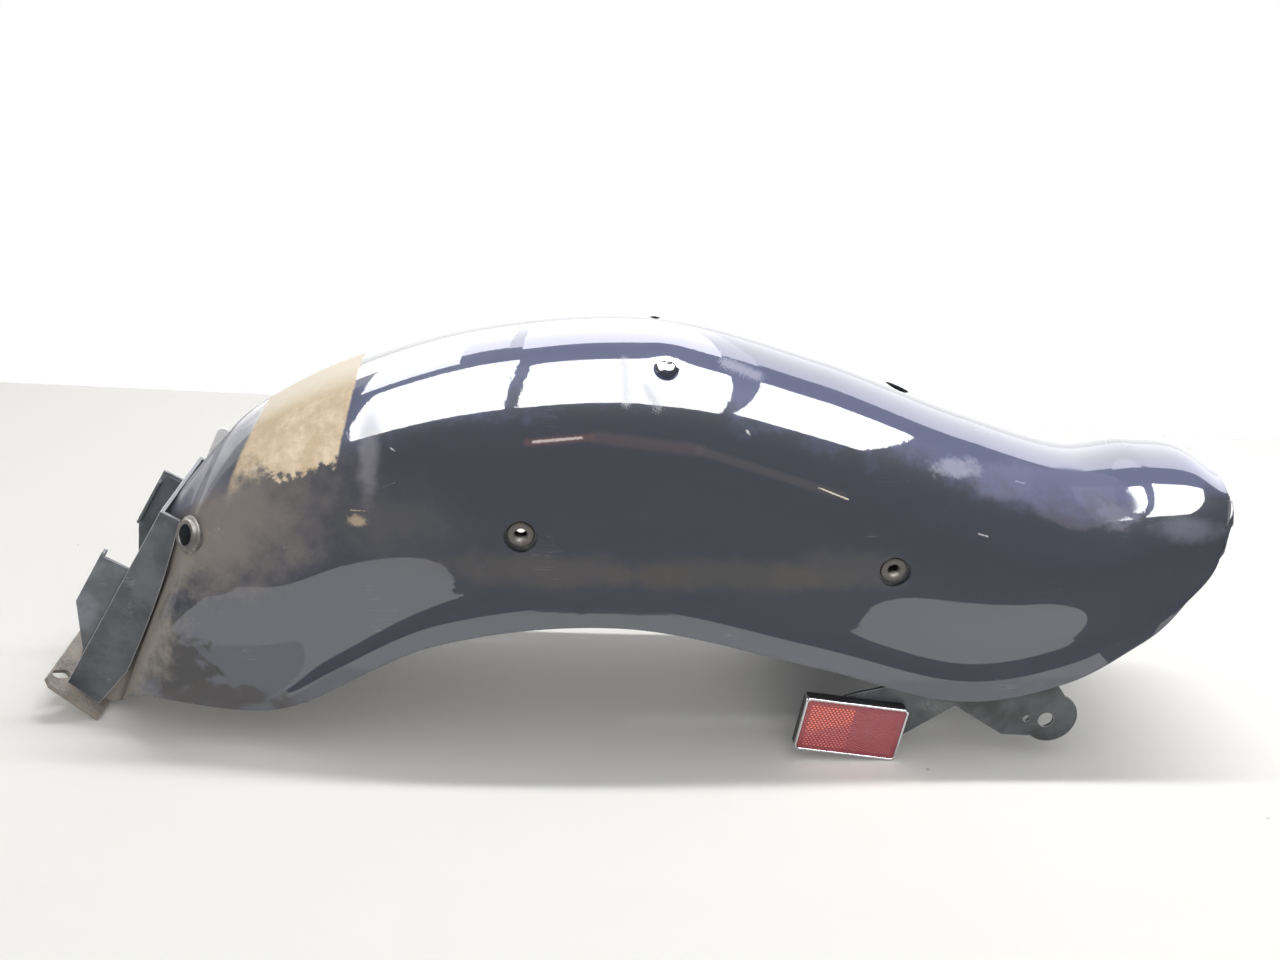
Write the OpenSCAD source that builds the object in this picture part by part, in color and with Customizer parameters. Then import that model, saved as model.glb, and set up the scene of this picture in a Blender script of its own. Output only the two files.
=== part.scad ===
// Motorcycle rear fender.
// A long pressed steel shell is lofted between two rails: the crown line and the lower
// edge. Everything that is welded or bolted to it takes its place from the same surface.
// X runs from the nose (minus) to the tail (plus), Y from the left side (minus) to the
// right side (plus), Z is up, and the part stands on Z = 0. Millimetres and degrees.

/* [Fender form] */
// Length from the front flange to the tail edge
fender_len = 1000; // [960:5:1040]
// Width over the lips at the wheel arch
fender_width = 222; // [206:2:238]
// Top of the crown above the ground it lies on
crown_height = 357; // [345:1:372]
// Crown height where the nose ends
nose_height = 196; // [189:1:203]
// Crown height at the low point before the tail
saddle_height = 261; // [254:1:268]
// Crown height at the tail edge
tail_height = 269; // [262:1:276]
// Lower edge height at the top of the wheel arch
arch_height = 123; // [112:1:132]
// Lower edge height along the front skirt
skirt_height = 35; // [30:1:42]
// Lower edge height at the bottom of the rear skirt
rear_skirt_height = 61; // [55:1:67]
// Width over the walls at the tail edge, before it rolls in
tail_width = 188; // [176:2:200]
// How far the tail edge rolls down and in
tail_roll = 14; // [9:1:18]
// Width of the neck that carries the front bracket
neck_width = 116; // [110:2:120]
// Sheet thickness of the shell
sheet = 2; // [1.6:0.1:2.4]

/* [Lip and walls] */
// Height of the outward lip along the lower edge
lip_height = 20; // [14:1:24]
// Height of the hollow that leads into the lip
flare_height = 20; // [14:1:26]
// How far the hollow throws the lip outward
lip_out = 5; // [3:0.5:7]
// How much each side wall leans out from shoulder to lip
wall_lean = 15; // [8:1:20]
// Swelling of the skirt walls before and behind the wheel arch
skirt_swell = 4; // [2:0.5:6]

/* [Holes and fasteners] */
// Hole in the shell over each side nut
side_hole = 27; // [24:0.5:30]
// Bore of the side nuts, for an M10 strut bolt
side_thread = 10; // [8:1:12]
// Outer diameter of the side nuts
side_nut_d = 22; // [19:0.5:23]
// Length of the side nuts
side_nut_len = 9; // [7:0.5:12]
// Cable hole in the centre of the crown
crown_hole = 21; // [16:0.5:24]
// Small seat hole in the centre of the crown
seat_hole = 8.5; // [6.5:0.5:10]
// Shank diameter of the seat screws
seat_screw_d = 8; // [6:0.5:9]
// Head diameter of the seat screws
seat_head_d = 20; // [17:0.5:22]
// Outer diameter of the collars beside the nose
collar_d = 25; // [22:0.5:27]
// Bore of the collars beside the nose
collar_bore = 17; // [13:0.5:18]
// How far the collars stand out
collar_proud = 6; // [4:0.5:8]

/* [Front bracket] */
// Angle between the front bracket's web and the vertical
bracket_lean = 28.5; // [27:0.5:31]
// Plate thickness of the front brackets
plate = 3; // [2.5:0.1:3.5]
// Width of the base flange
flange_width = 152; // [144:2:160]
// Length of the base flange down its slope
flange_len = 54; // [51:0.5:57]
// Slope of the base flange from the level
flange_slope = 41; // [39:0.5:43]
// Plate thickness of the base flange
flange_plate = 4; // [3:0.5:5]
// Width of the slots in the base flange
slot_width = 8.5; // [6.5:0.5:10]
// Length of the slots in the base flange
slot_len = 18; // [14:1:20]
// Distance between the two slots
slot_pitch = 112; // [106:2:116]

/* [Rear stays] */
// Plate thickness of the rear stays
stay_plate = 3; // [2.5:0.1:4]
// Bolt hole in each rear lug
lug_hole = 14; // [10:0.5:17]
// Locating hole beside the bolt hole
lug_pin_hole = 6; // [4:0.5:7]
// Radius of the rounded lug end
lug_radius = 24; // [20:0.5:26]

/* [Reflectors] */
// Length of the side reflectors
reflector_len = 92; // [82:1:98]
// Height of the side reflectors
reflector_height = 52; // [44:1:56]
// Depth of the reflector housing
reflector_depth = 12; // [9:0.5:15]
// Angle that the reflectors tip down to the rear
reflector_tip = 6.5; // [4:0.5:9]
// Thickness of the red lens
lens_thick = 3; // [2:0.5:4]

/* [Hidden] */

// Clearance between pieces that seat on each other.
seat_gap = 0.3;
// Rings across the loft, and points on each quarter of a section.
rings = 48;
crown_steps = 8;
wall_steps = 4;
flare_steps = 3;
lip_steps = 1;
half_steps = crown_steps + wall_steps + flare_steps + lip_steps;

x_front = -fender_len / 2;
x_tail = fender_len / 2;

// The base flange slopes down to the ground. Its underside runs from the front corner.
flange_rise = flange_len * sin(flange_slope);
// Height of the flange's upper face at a place along the fender.
function flange_z(x) =
  flange_rise - (x - x_front) * tan(flange_slope) + flange_plate / cos(flange_slope);
// Where the web of the front bracket stands on the flange.
web_inset = 16;
web_x = x_front + web_inset * cos(flange_slope) + flange_plate * sin(flange_slope);
web_z = flange_z(web_x);
// A point beside the web's front face, at a distance up along it and back from it.
function web_point(up, back = 0) = [
  web_x + up * sin(bracket_lean) + back * cos(bracket_lean),
  web_z + up * cos(bracket_lean) - back * sin(bracket_lean)
];
nose_up = (nose_height - web_z) / cos(bracket_lean);
nose_gap = plate + 3 * seat_gap;

// Driving points of the loft, one row for each main station from nose to tail:
// crown x, crown z, edge x, edge z, half width, crown drop, lean, swell.
half = fender_width / 2;
// A place along the fender, given for a fender of one metre.
function at(place) = place * fender_len / 1000;
nose_c = web_point(nose_up, nose_gap);
nose_e = web_point(3, nose_gap);
heel_x = nose_e.x + 30;
stations = [
  [nose_c.x, nose_c.y, nose_e.x, nose_e.y, half - 14, 56, 2, 0],
  [nose_c.x + 28, nose_height + 33, heel_x, flange_z(heel_x) + 7, half - 12, 66, 5, 0],
  [at(-332), nose_height + 64, at(-414), skirt_height + 3, half - 7, 80, wall_lean - 4,
    0.6 * skirt_swell],
  [at(-255), crown_height - 52, at(-302), skirt_height, half - 2, 88, wall_lean,
    skirt_swell],
  [at(-140), crown_height - 14, at(-172), arch_height - 21, half, 92, wall_lean,
    0.4 * skirt_swell],
  [at(0), crown_height, at(-20), arch_height, half, 93, wall_lean, 0],
  [at(140), crown_height - 28, at(140), arch_height - 31, half, 93, wall_lean,
    0.2 * skirt_swell],
  [at(272), crown_height - 69, at(272), rear_skirt_height, half - 1, 88, wall_lean,
    skirt_swell],
  [at(372), saddle_height + 2, at(366), rear_skirt_height + 17, half - 4, 78,
    wall_lean - 2, skirt_swell],
  [at(434), saddle_height + 2, at(424), rear_skirt_height + 56, half - 9, 66,
    wall_lean - 5, 0.4 * skirt_swell],
  [x_tail - 26, tail_height - 1, at(458), tail_height - 114, tail_width / 2 + 4, 56,
    wall_lean - 7, 0.1 * skirt_swell],
  [x_tail, tail_height - tail_roll, x_tail - 8, tail_height - 67,
    tail_width / 2 - tail_roll / 2, 40, wall_lean - 8, 0]
];
last = len(stations) - 1;
// The neck: how far the walls draw in at the nose, and where they swell out again.
neck_in = half - 12 - neck_width / 2;
neck_start = 0.7;
neck_end = 2.3;

// A smooth curve through the rows, with a mirrored row past each end.
function row(i) =
  i < 0 ? 2 * stations[0] - stations[1] :
  i > last ? 2 * stations[last] - stations[last - 1] : stations[i];
function blend(a, b, c, d, u) =
  b + 0.5 * u * ((c - a) + u * ((2 * a - 5 * b + 4 * c - d) + u * (3 * (b - c) + d - a)));
function station(t) =
  let (i = min(floor(t), last - 1))
  blend(row(i - 1), row(i), row(i + 1), row(i + 2), t - i);
function ease(u) = let (v = max(0, min(1, u))) v * v * (3 - 2 * v);

// Half width of a section at a depth below the crown, with the neck drawn in.
function neck(t) = neck_in * (1 - ease((t - neck_start) / (neck_end - neck_start)));
// The lip fades out before the tail edge.
function lip_share(t) = 1 - ease((t - last + 1.9) / 1.2);
function depth(st) = norm([st[2] - st[0], st[3] - st[1]]);
function crease(st) = depth(st) - lip_height;
function flare(st) = crease(st) - flare_height;
function wall_y(st, t, s) =
  let (
    full = st[4] - neck(t) - lip_out,
    k = min(1, s / st[5]),
    lean = st[6] * min(1, s / flare(st)),
    v = max(0, min(1, (s - 0.35 * flare(st)) / (0.65 * flare(st)))),
    swell = st[7] * pow(sin(180 * v), 2),
    out = s <= flare(st) ? 0 :
      lip_share(t) * lip_out * pow(min(1, (s - flare(st)) / flare_height), 2),
    drop = s <= crease(st) ? 0 : 0.03 * (s - crease(st))
  )
  (full - st[6]) * sqrt(max(0, 1 - pow(1 - k, 2))) + lean + swell + out + drop;
// A point of the outer surface: side is 1 on the right and -1 on the left.
function skin(t, s, side = 1) =
  let (st = station(t), f = s / depth(st))
  [st[0] + f * (st[2] - st[0]), side * wall_y(st, t, s), st[1] + f * (st[3] - st[1])];
function unit(v) = v / norm(v);
// The outward normal there.
function normal(t, s, side = 1) =
  let (
    along = skin(min(last, t + 0.02), s, side) - skin(max(0, t - 0.02), s, side),
    down = skin(t, s + 0.5, side) - skin(t, max(0, s - 0.5), side)
  )
  side * unit(cross(along, down));
// The station whose plane holds a place seen from the side, found by halving.
function station_of(x, z, lo = 0, hi = last, n = 24) =
  let (m = (lo + hi) / 2, st = station(m))
  n == 0 ? m :
  (st[2] - st[0]) * (z - st[1]) - (st[3] - st[1]) * (x - st[0]) > 0 ?
    station_of(x, z, m, hi, n - 1) : station_of(x, z, lo, m, n - 1);
// Station and depth of a place on the side wall.
function locate(x, z) =
  let (t = station_of(x, z), st = station(t)) [t, norm([x - st[0], z - st[1]])];
// Half width of the wall at such a place.
function wall_at(x, z) = let (q = locate(x, z)) skin(q[0], q[1]).y;
// Depth at which a section is a given half width wide.
function depth_at(t, y, lo = 0, hi = 80, n = 20) =
  let (m = (lo + hi) / 2)
  n == 0 ? m :
  skin(t, m).y < y ? depth_at(t, y, m, hi, n - 1) : depth_at(t, y, lo, m, n - 1);

// Depth of the k-th point of a half section.
function point_depth(st, k) =
  k <= crown_steps ? st[5] * (1 - cos(90 * k / crown_steps)) :
  k <= crown_steps + wall_steps ?
    st[5] + (flare(st) - st[5]) * (k - crown_steps) / wall_steps :
  k <= crown_steps + wall_steps + flare_steps ?
    flare(st) + flare_height * (k - crown_steps - wall_steps) / flare_steps :
  crease(st) + lip_height * (k - crown_steps - wall_steps - flare_steps) / lip_steps;
// The rings lie closer together at the nose, where the neck bends most.
function ring_station(i) = let (u = i / rings) last * u * (0.7 + 0.3 * u);

// Places on the shell, seen from the side.
front_nut = [at(-107), 199];
rear_nut = [at(202), 179];
seat_screw_place = [at(3), crown_height - 24];
collar_place = [web_point(nose_up, 0).x + 26.5, nose_height - 15];
crown_hole_x = at(212);
seat_hole_x = at(-3);

// The loft: an outer and an inner skin, closed along every edge.
module shell_loft() {
  across = 2 * half_steps + 1;
  sides = [for (i = [0 : rings]) for (j = [-half_steps : half_steps])
    let (t = ring_station(i), s = point_depth(station(t), abs(j)), side = j < 0 ? -1 : 1)
    [skin(t, s, side), normal(t, s, side)]];
  outer = [for (q = sides) q[0]];
  inner = [for (q = sides) q[0] - sheet * q[1]];
  n = len(outer);
  quads = [
    for (i = [0 : rings - 1]) for (j = [0 : across - 2])
      let (a = i * across + j, b = a + across, c = b + 1, d = a + 1)
      each [[a, d, c, b], [a + n, b + n, c + n, d + n]],
    for (i = [0 : rings - 1])
      let (a = i * across, b = a + across, d = a + across - 1, c = d + across)
      each [[a, b, b + n, a + n], [c, d, d + n, c + n]],
    for (j = [0 : across - 2])
      let (a = j, b = rings * across + j)
      each [[a + 1, a, a + n, a + 1 + n], [b, b + 1, b + 1 + n, b + n]]
  ];
  polyhedron(
    points = concat(outer, inner),
    faces = [for (q = quads) each [[q[0], q[1], q[2]], [q[0], q[2], q[3]]]],
    convexity = 6
  );
}

// Moves children to the shell, with Z along the outward normal.
module on_skin(place, side = 1) {
  q = locate(place.x, place.y);
  n = normal(q[0], q[1], side);
  translate(skin(q[0], q[1], side))
    rotate([0, acos(n.z), atan2(n.y, n.x)])
    children();
}

// Moves children to a side wall, with Z straight out along Y.
module out_from(place, y, side = 1) {
  translate([place.x, side * y, place.y])
    rotate([-90 * side, 0, 0])
    children();
}

module rod(d, from, to) {
  translate([0, 0, from])
    cylinder(d = d, h = to - from, $fn = 64);
}

module ring(d, bore, from, to) {
  difference() {
    rod(d, from, to);
    rod(bore, from - 1, to + 1);
  }
}

module fender_shell() {
  color("#23252f")
  difference() {
    shell_loft();
    for (side = [-1, 1]) {
      for (place = [front_nut, rear_nut])
        out_from(place, wall_at(place.x, place.y), side)
          rod(side_hole, -12, 12);
      on_skin(seat_screw_place, side)
        rod(seat_screw_d + 1, -12, 12);
      on_skin(collar_place, side)
        rod(collar_d + 2 * seat_gap, -12, 12);
    }
    translate([crown_hole_x, 0, 0])
      rod(crown_hole, tail_height - 20, crown_height + 20);
    translate([seat_hole_x, 0, 0])
      rod(seat_hole, crown_height - 20, crown_height + 20);
  }
}

// The sloping foot that the nose is welded to, with a slot near each front corner.
module base_flange() {
  heel = 6;
  color("#8a7f72")
  translate([x_front, 0, flange_rise])
    rotate([0, flange_slope, 0])
    difference() {
      linear_extrude(flange_plate)
        polygon([
          [0, -flange_width / 2 + heel], [heel, -flange_width / 2],
          [flange_len, -flange_width / 2], [flange_len, flange_width / 2],
          [heel, flange_width / 2], [0, flange_width / 2 - heel]
        ]);
      for (side = [-1, 1])
        translate([web_inset / 2 + 0.5, side * slot_pitch / 2, -1])
          rotate(-side * 50)
          slot(slot_len, slot_width, flange_plate + 2);
    }
}

module slot(length, width, height) {
  reach = (length - width) / 2;
  for (end = [-1, 1])
    translate([end * reach, 0, 0])
      cylinder(d = width, h = height, $fn = 48);
  translate([-reach, -width / 2, 0])
    cube([2 * reach, width, height]);
}

// Moves children onto the web's front face: Z runs up along it and X points back.
module on_web() {
  translate([web_x, 0, web_z])
    rotate([0, bracket_lean, 0])
    children();
}

// A cheek plate cut to an outline of [back, up] points, standing across Y.
module cheek(outline, y, thick) {
  translate([0, y + thick / 2, 0])
    rotate([90, 0, 0])
    linear_extrude(thick)
    polygon(outline);
}

// Channel across the nose: a leaning web with a cheek plate on each side of the neck.
module front_bracket() {
  cheek_y = neck_width / 2 + seat_gap + plate / 2;
  foot = seat_gap;
  fall = tan(flange_slope - bracket_lean);
  top = nose_up - 6;
  color("#2b2d31")
  on_web() {
    difference() {
      translate([0, -cheek_y - plate / 2, foot])
        cube([plate, 2 * cheek_y + plate, top - foot]);
      translate([-1, 0, 0.45 * nose_up])
        rotate([0, 90, 0])
        cylinder(d = 30, h = plate + 2, $fn = 64);
    }
    for (side = [-1, 1])
      cheek([[0, foot], [14, foot - 14 * fall], [27, 22], [17, top], [0, top]],
        side * cheek_y, plate);
  }
}

// Where the hook plates stand, measured across the web.
hook_y = neck_width / 2 - 1;

// Hook plate on the left of the web: slanting front edge, square top, folded lip.
module hook_bracket_left() {
  top = 122;
  reach = 25;
  lip = 9;
  color("#4a4d52")
  on_web() {
    cheek(
      [[-seat_gap, 23], [-2, 33], [-reach, 73], [-reach, top], [-seat_gap, top]],
      plate / 2 - hook_y, plate
    );
    translate([-reach, -hook_y, 98])
      cube([plate, lip, top - 98]);
    translate([-reach, lip / 2 - hook_y, top])
      rotate([0, 90, 0])
      cylinder(d = lip, h = plate, $fn = 48);
  }
}

// The taller hook plate on the right.
module hook_bracket_right() {
  top = 160;
  reach = 21;
  color("#4a4d52")
  on_web()
    cheek(
      [[-seat_gap, 62], [-6, 72], [-reach, 106], [-reach, top], [-seat_gap, top]],
      hook_y - plate / 2, plate
    );
}

// Black stiffener on the inside of the right hook plate, with a turned front edge.
module hook_stiffener() {
  low = 106;
  top = 158;
  y = hook_y - plate - seat_gap;
  color("#17181a")
  on_web() {
    cheek([[-seat_gap, low], [-18, low], [-18, top - 5], [-14, top], [-seat_gap, top]],
      y - 1, 2);
    translate([-20, y - 9, low])
      cube([2.2, 9, top - 6 - low]);
  }
}

// Upright tab with a rounded top on the right shoulder of the nose.
module cable_tab() {
  y = 42;
  thick = 2.5;
  t0 = 0.35;
  t1 = 1.2;
  foot = [for (i = [0 : 6])
    let (t = t0 + (t1 - t0) * i / 6, p = skin(t, depth_at(t, y - thick / 2)))
    [p.x, p.z + seat_gap]];
  r = 5.5;
  ear = foot[6] + [-6, 3.5];
  color("#8f8c90")
  translate([0, y + thick / 2, 0])
    rotate([90, 0, 0])
    linear_extrude(thick)
    union() {
      polygon(concat(foot, [[ear.x + r, ear.y], [ear.x, ear.y + r], ear + [-0.9 * r, 0.4 * r]]));
      translate(ear)
        circle(r = r, $fn = 48);
    }
}

// Collar beside the nose, with a low step round its foot.
module collar(side) {
  color("#6f675e")
  on_skin(collar_place, side) {
    ring(collar_d, collar_bore, -sheet - 4, collar_proud);
    ring(collar_d + 6, collar_bore, 1.6, 3.2);
  }
}
module collar_left() { collar(-1); }
module collar_right() { collar(1); }

// The strap behind each side wall, flat, close behind the wall at its upper edge.
strap_plate = 2.5;
strap_width = 40;
strap_y = min(
  wall_at(front_nut.x, front_nut.y + strap_width / 2),
  wall_at(rear_nut.x, rear_nut.y + strap_width / 2),
  wall_at((front_nut.x + rear_nut.x) / 2, (front_nut.y + rear_nut.y + strap_width) / 2)
) - sheet - seat_gap;

module side_strap(side) {
  run = rear_nut - front_nut;
  color("#33363c")
  out_from(front_nut, strap_y, side)
    rotate(-side * atan2(run.y, run.x))
    difference() {
      union() {
        rod(strap_width, -strap_plate, 0);
        translate([norm(run), 0, 0])
          rod(strap_width, -strap_plate, 0);
        translate([0, -strap_width / 2, -strap_plate])
          cube([norm(run), strap_width, strap_plate]);
      }
      for (x = [0, norm(run)])
        translate([x, 0, 0])
          rod(side_nut_d + 2 * seat_gap, -strap_plate - 1, 1);
    }
}
module side_strap_left() { side_strap(-1); }
module side_strap_right() { side_strap(1); }

// Round threaded nuts set in the strap, behind the large holes of the shell.
module side_nuts(side) {
  color("#55585e")
  for (place = [front_nut, rear_nut])
    out_from(place, strap_y, side) {
      ring(side_nut_d, side_thread, 1 - side_nut_len, 1);
      ring(side_nut_d + 8, side_thread, -strap_plate - 3, -strap_plate - seat_gap);
    }
}
module side_nuts_left() { side_nuts(-1); }
module side_nuts_right() { side_nuts(1); }

// Domed screws on both shoulders of the crown, and the nuts below the sheet.
module seat_screws() {
  dome = seat_head_d;
  color("silver")
  for (side = [-1, 1])
    on_skin(seat_screw_place, side) {
      intersection() {
        translate([0, 0, 5 - dome])
          sphere(r = dome, $fn = 96);
        rod(seat_head_d, 0.2, 8);
      }
      rod(seat_screw_d, -14, 0.3);
    }
}

module seat_nuts() {
  color("dimgray")
  for (side = [-1, 1])
    on_skin(seat_screw_place, side)
      ring(2 * seat_screw_d, seat_screw_d + 0.2, -sheet - 8.5, -sheet - 1);
}

// The rear stays lie flat inside the skirts and reach out below them.
lug = [at(362), 38];
lug_end = lug + [4, 2];
stay_y = min([for (place = [[at(236), 80], [at(262), 112], [at(300), 116], [at(331), 118],
  [at(300), 84], [at(346), 92]]) wall_at(place.x, place.y)]) - sheet - seat_gap;
stud_pitch = 44;
reflector_centre = [
  lug.x - 178,
  reflector_height / 2 * cos(reflector_tip) + reflector_len / 2 * sin(reflector_tip)
];

module rear_stay_right() {
  top = lug.y + 80;
  outline = [
    [lug.x - 85, lug.y + 12], [lug.x - 132, lug.y - 22], [lug.x - 196, lug.y - 22],
    [lug.x - 212, lug.y - 8], [lug.x - 212, lug.y + 8], [lug.x - 176, lug.y + 22],
    [lug.x - 126, lug.y + 36], [lug.x - 104, top - 4], [lug.x - 98, top],
    [lug.x - 36, top], [lug.x - 24, top - 8], [lug_end.x + lug_radius - 4, lug_end.y + 8],
    lug_end, [lug_end.x - 8, lug_end.y - lug_radius + 5], [lug.x - 38, lug.y - 16]
  ];
  color("#2f3236")
  translate([0, stay_y, 0])
    rotate([-90, 0, 0])
    translate([0, 0, -stay_plate])
    difference() {
      linear_extrude(stay_plate)
        union() {
          polygon([for (p = outline) [p.x, -p.y]]);
          translate([lug_end.x, -lug_end.y])
            circle(r = lug_radius, $fn = 96);
        }
      translate([lug.x, -lug.y, -1])
        cylinder(d = lug_hole, h = stay_plate + 2, $fn = 64);
      translate([lug.x - 18, -lug.y - 1, -1])
        cylinder(d = lug_pin_hole, h = stay_plate + 2, $fn = 48);
      for (x = [-stud_pitch / 2, stud_pitch / 2])
        translate([reflector_centre.x, -reflector_centre.y, -1])
          rotate(reflector_tip)
          translate([x, 0, 0])
          cylinder(d = 5.6, h = stay_plate + 2, $fn = 48);
    }
}
module rear_stay_left() {
  mirror([0, 1, 0])
    rear_stay_right();
}

// Moves children to the reflector's seat on the stay, with Z straight out.
module on_reflector(side) {
  translate([reflector_centre.x, side * (stay_y + seat_gap), reflector_centre.y])
    rotate([0, reflector_tip, 0])
    rotate([-90 * side, 0, 0])
    children();
}

module rounded_box(length, width, height, r) {
  translate([-length / 2 + r, -width / 2, 0])
    cube([length - 2 * r, width, height]);
  translate([-length / 2, -width / 2 + r, 0])
    cube([length, width - 2 * r, height]);
  for (x = [-1, 1])
    for (y = [-1, 1])
      translate([x * (length / 2 - r), y * (width / 2 - r), 0])
        cylinder(r = r, h = height, $fn = 32);
}

bezel_width = 2;
bezel_depth = 3.2;

module reflector_housing(side) {
  body = reflector_depth - bezel_depth - 0.1;
  color("#1a1b1d")
  on_reflector(side) {
    rounded_box(reflector_len - 1, reflector_height - 1, body, 3);
    for (x = [-stud_pitch / 2, stud_pitch / 2])
      translate([x, 0, 0])
        rod(5, -stay_plate - 7, 1);
  }
}
module reflector_housing_left() { reflector_housing(-1); }
module reflector_housing_right() { reflector_housing(1); }

module reflector_bezel(side) {
  color("white")
  on_reflector(side)
    translate([0, 0, reflector_depth - bezel_depth])
    difference() {
      rounded_box(reflector_len, reflector_height, bezel_depth, 4);
      translate([0, 0, -1])
        rounded_box(
          reflector_len - 2 * bezel_width, reflector_height - 2 * bezel_width,
          bezel_depth + 2, 2.5
        );
    }
}
module reflector_bezel_left() { reflector_bezel(-1); }
module reflector_bezel_right() { reflector_bezel(1); }

module reflector_lens(side) {
  inset = 2 * (bezel_width + 0.15);
  color("red")
  on_reflector(side)
    translate([0, 0, reflector_depth - bezel_depth])
    rounded_box(reflector_len - inset, reflector_height - inset, lens_thick, 2.4);
}
module reflector_lens_left() { reflector_lens(-1); }
module reflector_lens_right() { reflector_lens(1); }

module reflector_nuts(side) {
  color("silver")
  on_reflector(side)
    for (x = [-stud_pitch / 2, stud_pitch / 2])
      translate([x, 0, -stay_plate - seat_gap - 5])
        difference() {
          cylinder(d = 9.2, h = 4.6, $fn = 6);
          rod(5.2, -1, 6);
        }
}
module reflector_nuts_left() { reflector_nuts(-1); }
module reflector_nuts_right() { reflector_nuts(1); }

fender_shell();
base_flange();
front_bracket();
hook_bracket_left();
hook_bracket_right();
hook_stiffener();
cable_tab();
collar_left();
collar_right();
side_strap_left();
side_strap_right();
side_nuts_left();
side_nuts_right();
seat_screws();
seat_nuts();
rear_stay_left();
rear_stay_right();
reflector_housing_left();
reflector_housing_right();
reflector_bezel_left();
reflector_bezel_right();
reflector_lens_left();
reflector_lens_right();
reflector_nuts_left();
reflector_nuts_right();
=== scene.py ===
"""Looks of a motorcycle rear fender: its pieces, finishes, floor, light and camera."""

import logging
import math
from collections.abc import Callable, Sequence
from dataclasses import dataclass, field
from enum import Enum
from functools import cached_property

import bmesh
import bpy
from mathutils import Matrix, Vector


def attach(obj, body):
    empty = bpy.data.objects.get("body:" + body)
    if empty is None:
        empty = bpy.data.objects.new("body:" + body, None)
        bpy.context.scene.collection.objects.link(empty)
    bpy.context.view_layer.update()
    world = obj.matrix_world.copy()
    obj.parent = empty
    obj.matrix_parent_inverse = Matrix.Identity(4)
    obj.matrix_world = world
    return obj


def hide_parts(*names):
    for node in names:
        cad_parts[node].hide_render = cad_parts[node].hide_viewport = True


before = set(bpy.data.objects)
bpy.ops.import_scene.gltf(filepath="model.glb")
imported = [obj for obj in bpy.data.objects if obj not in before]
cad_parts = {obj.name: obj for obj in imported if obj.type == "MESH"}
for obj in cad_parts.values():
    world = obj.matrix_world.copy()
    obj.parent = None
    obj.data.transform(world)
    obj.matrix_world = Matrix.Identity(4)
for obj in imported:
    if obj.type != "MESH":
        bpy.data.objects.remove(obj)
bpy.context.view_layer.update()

logging.basicConfig(level=logging.INFO, format="%(message)s")
log = logging.getLogger("fender")

MM = 0.001
Row = tuple[float, ...]
Point = tuple[float, float]
Colour = tuple[float, float, float]
Socket = bpy.types.NodeSocket
Input = float | Sequence[float] | bpy.types.NodeSocket
ORIGIN = (0.0, 0.0, 0.0)


class Side(Enum):
    """Side of the fender that a piece is on."""

    LEFT = -1
    RIGHT = 1

    @property
    def tag(self) -> str:
        """The ending that node names carry."""
        return self.name.lower()


# ---------------------------------------------------------------- shader trees


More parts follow.
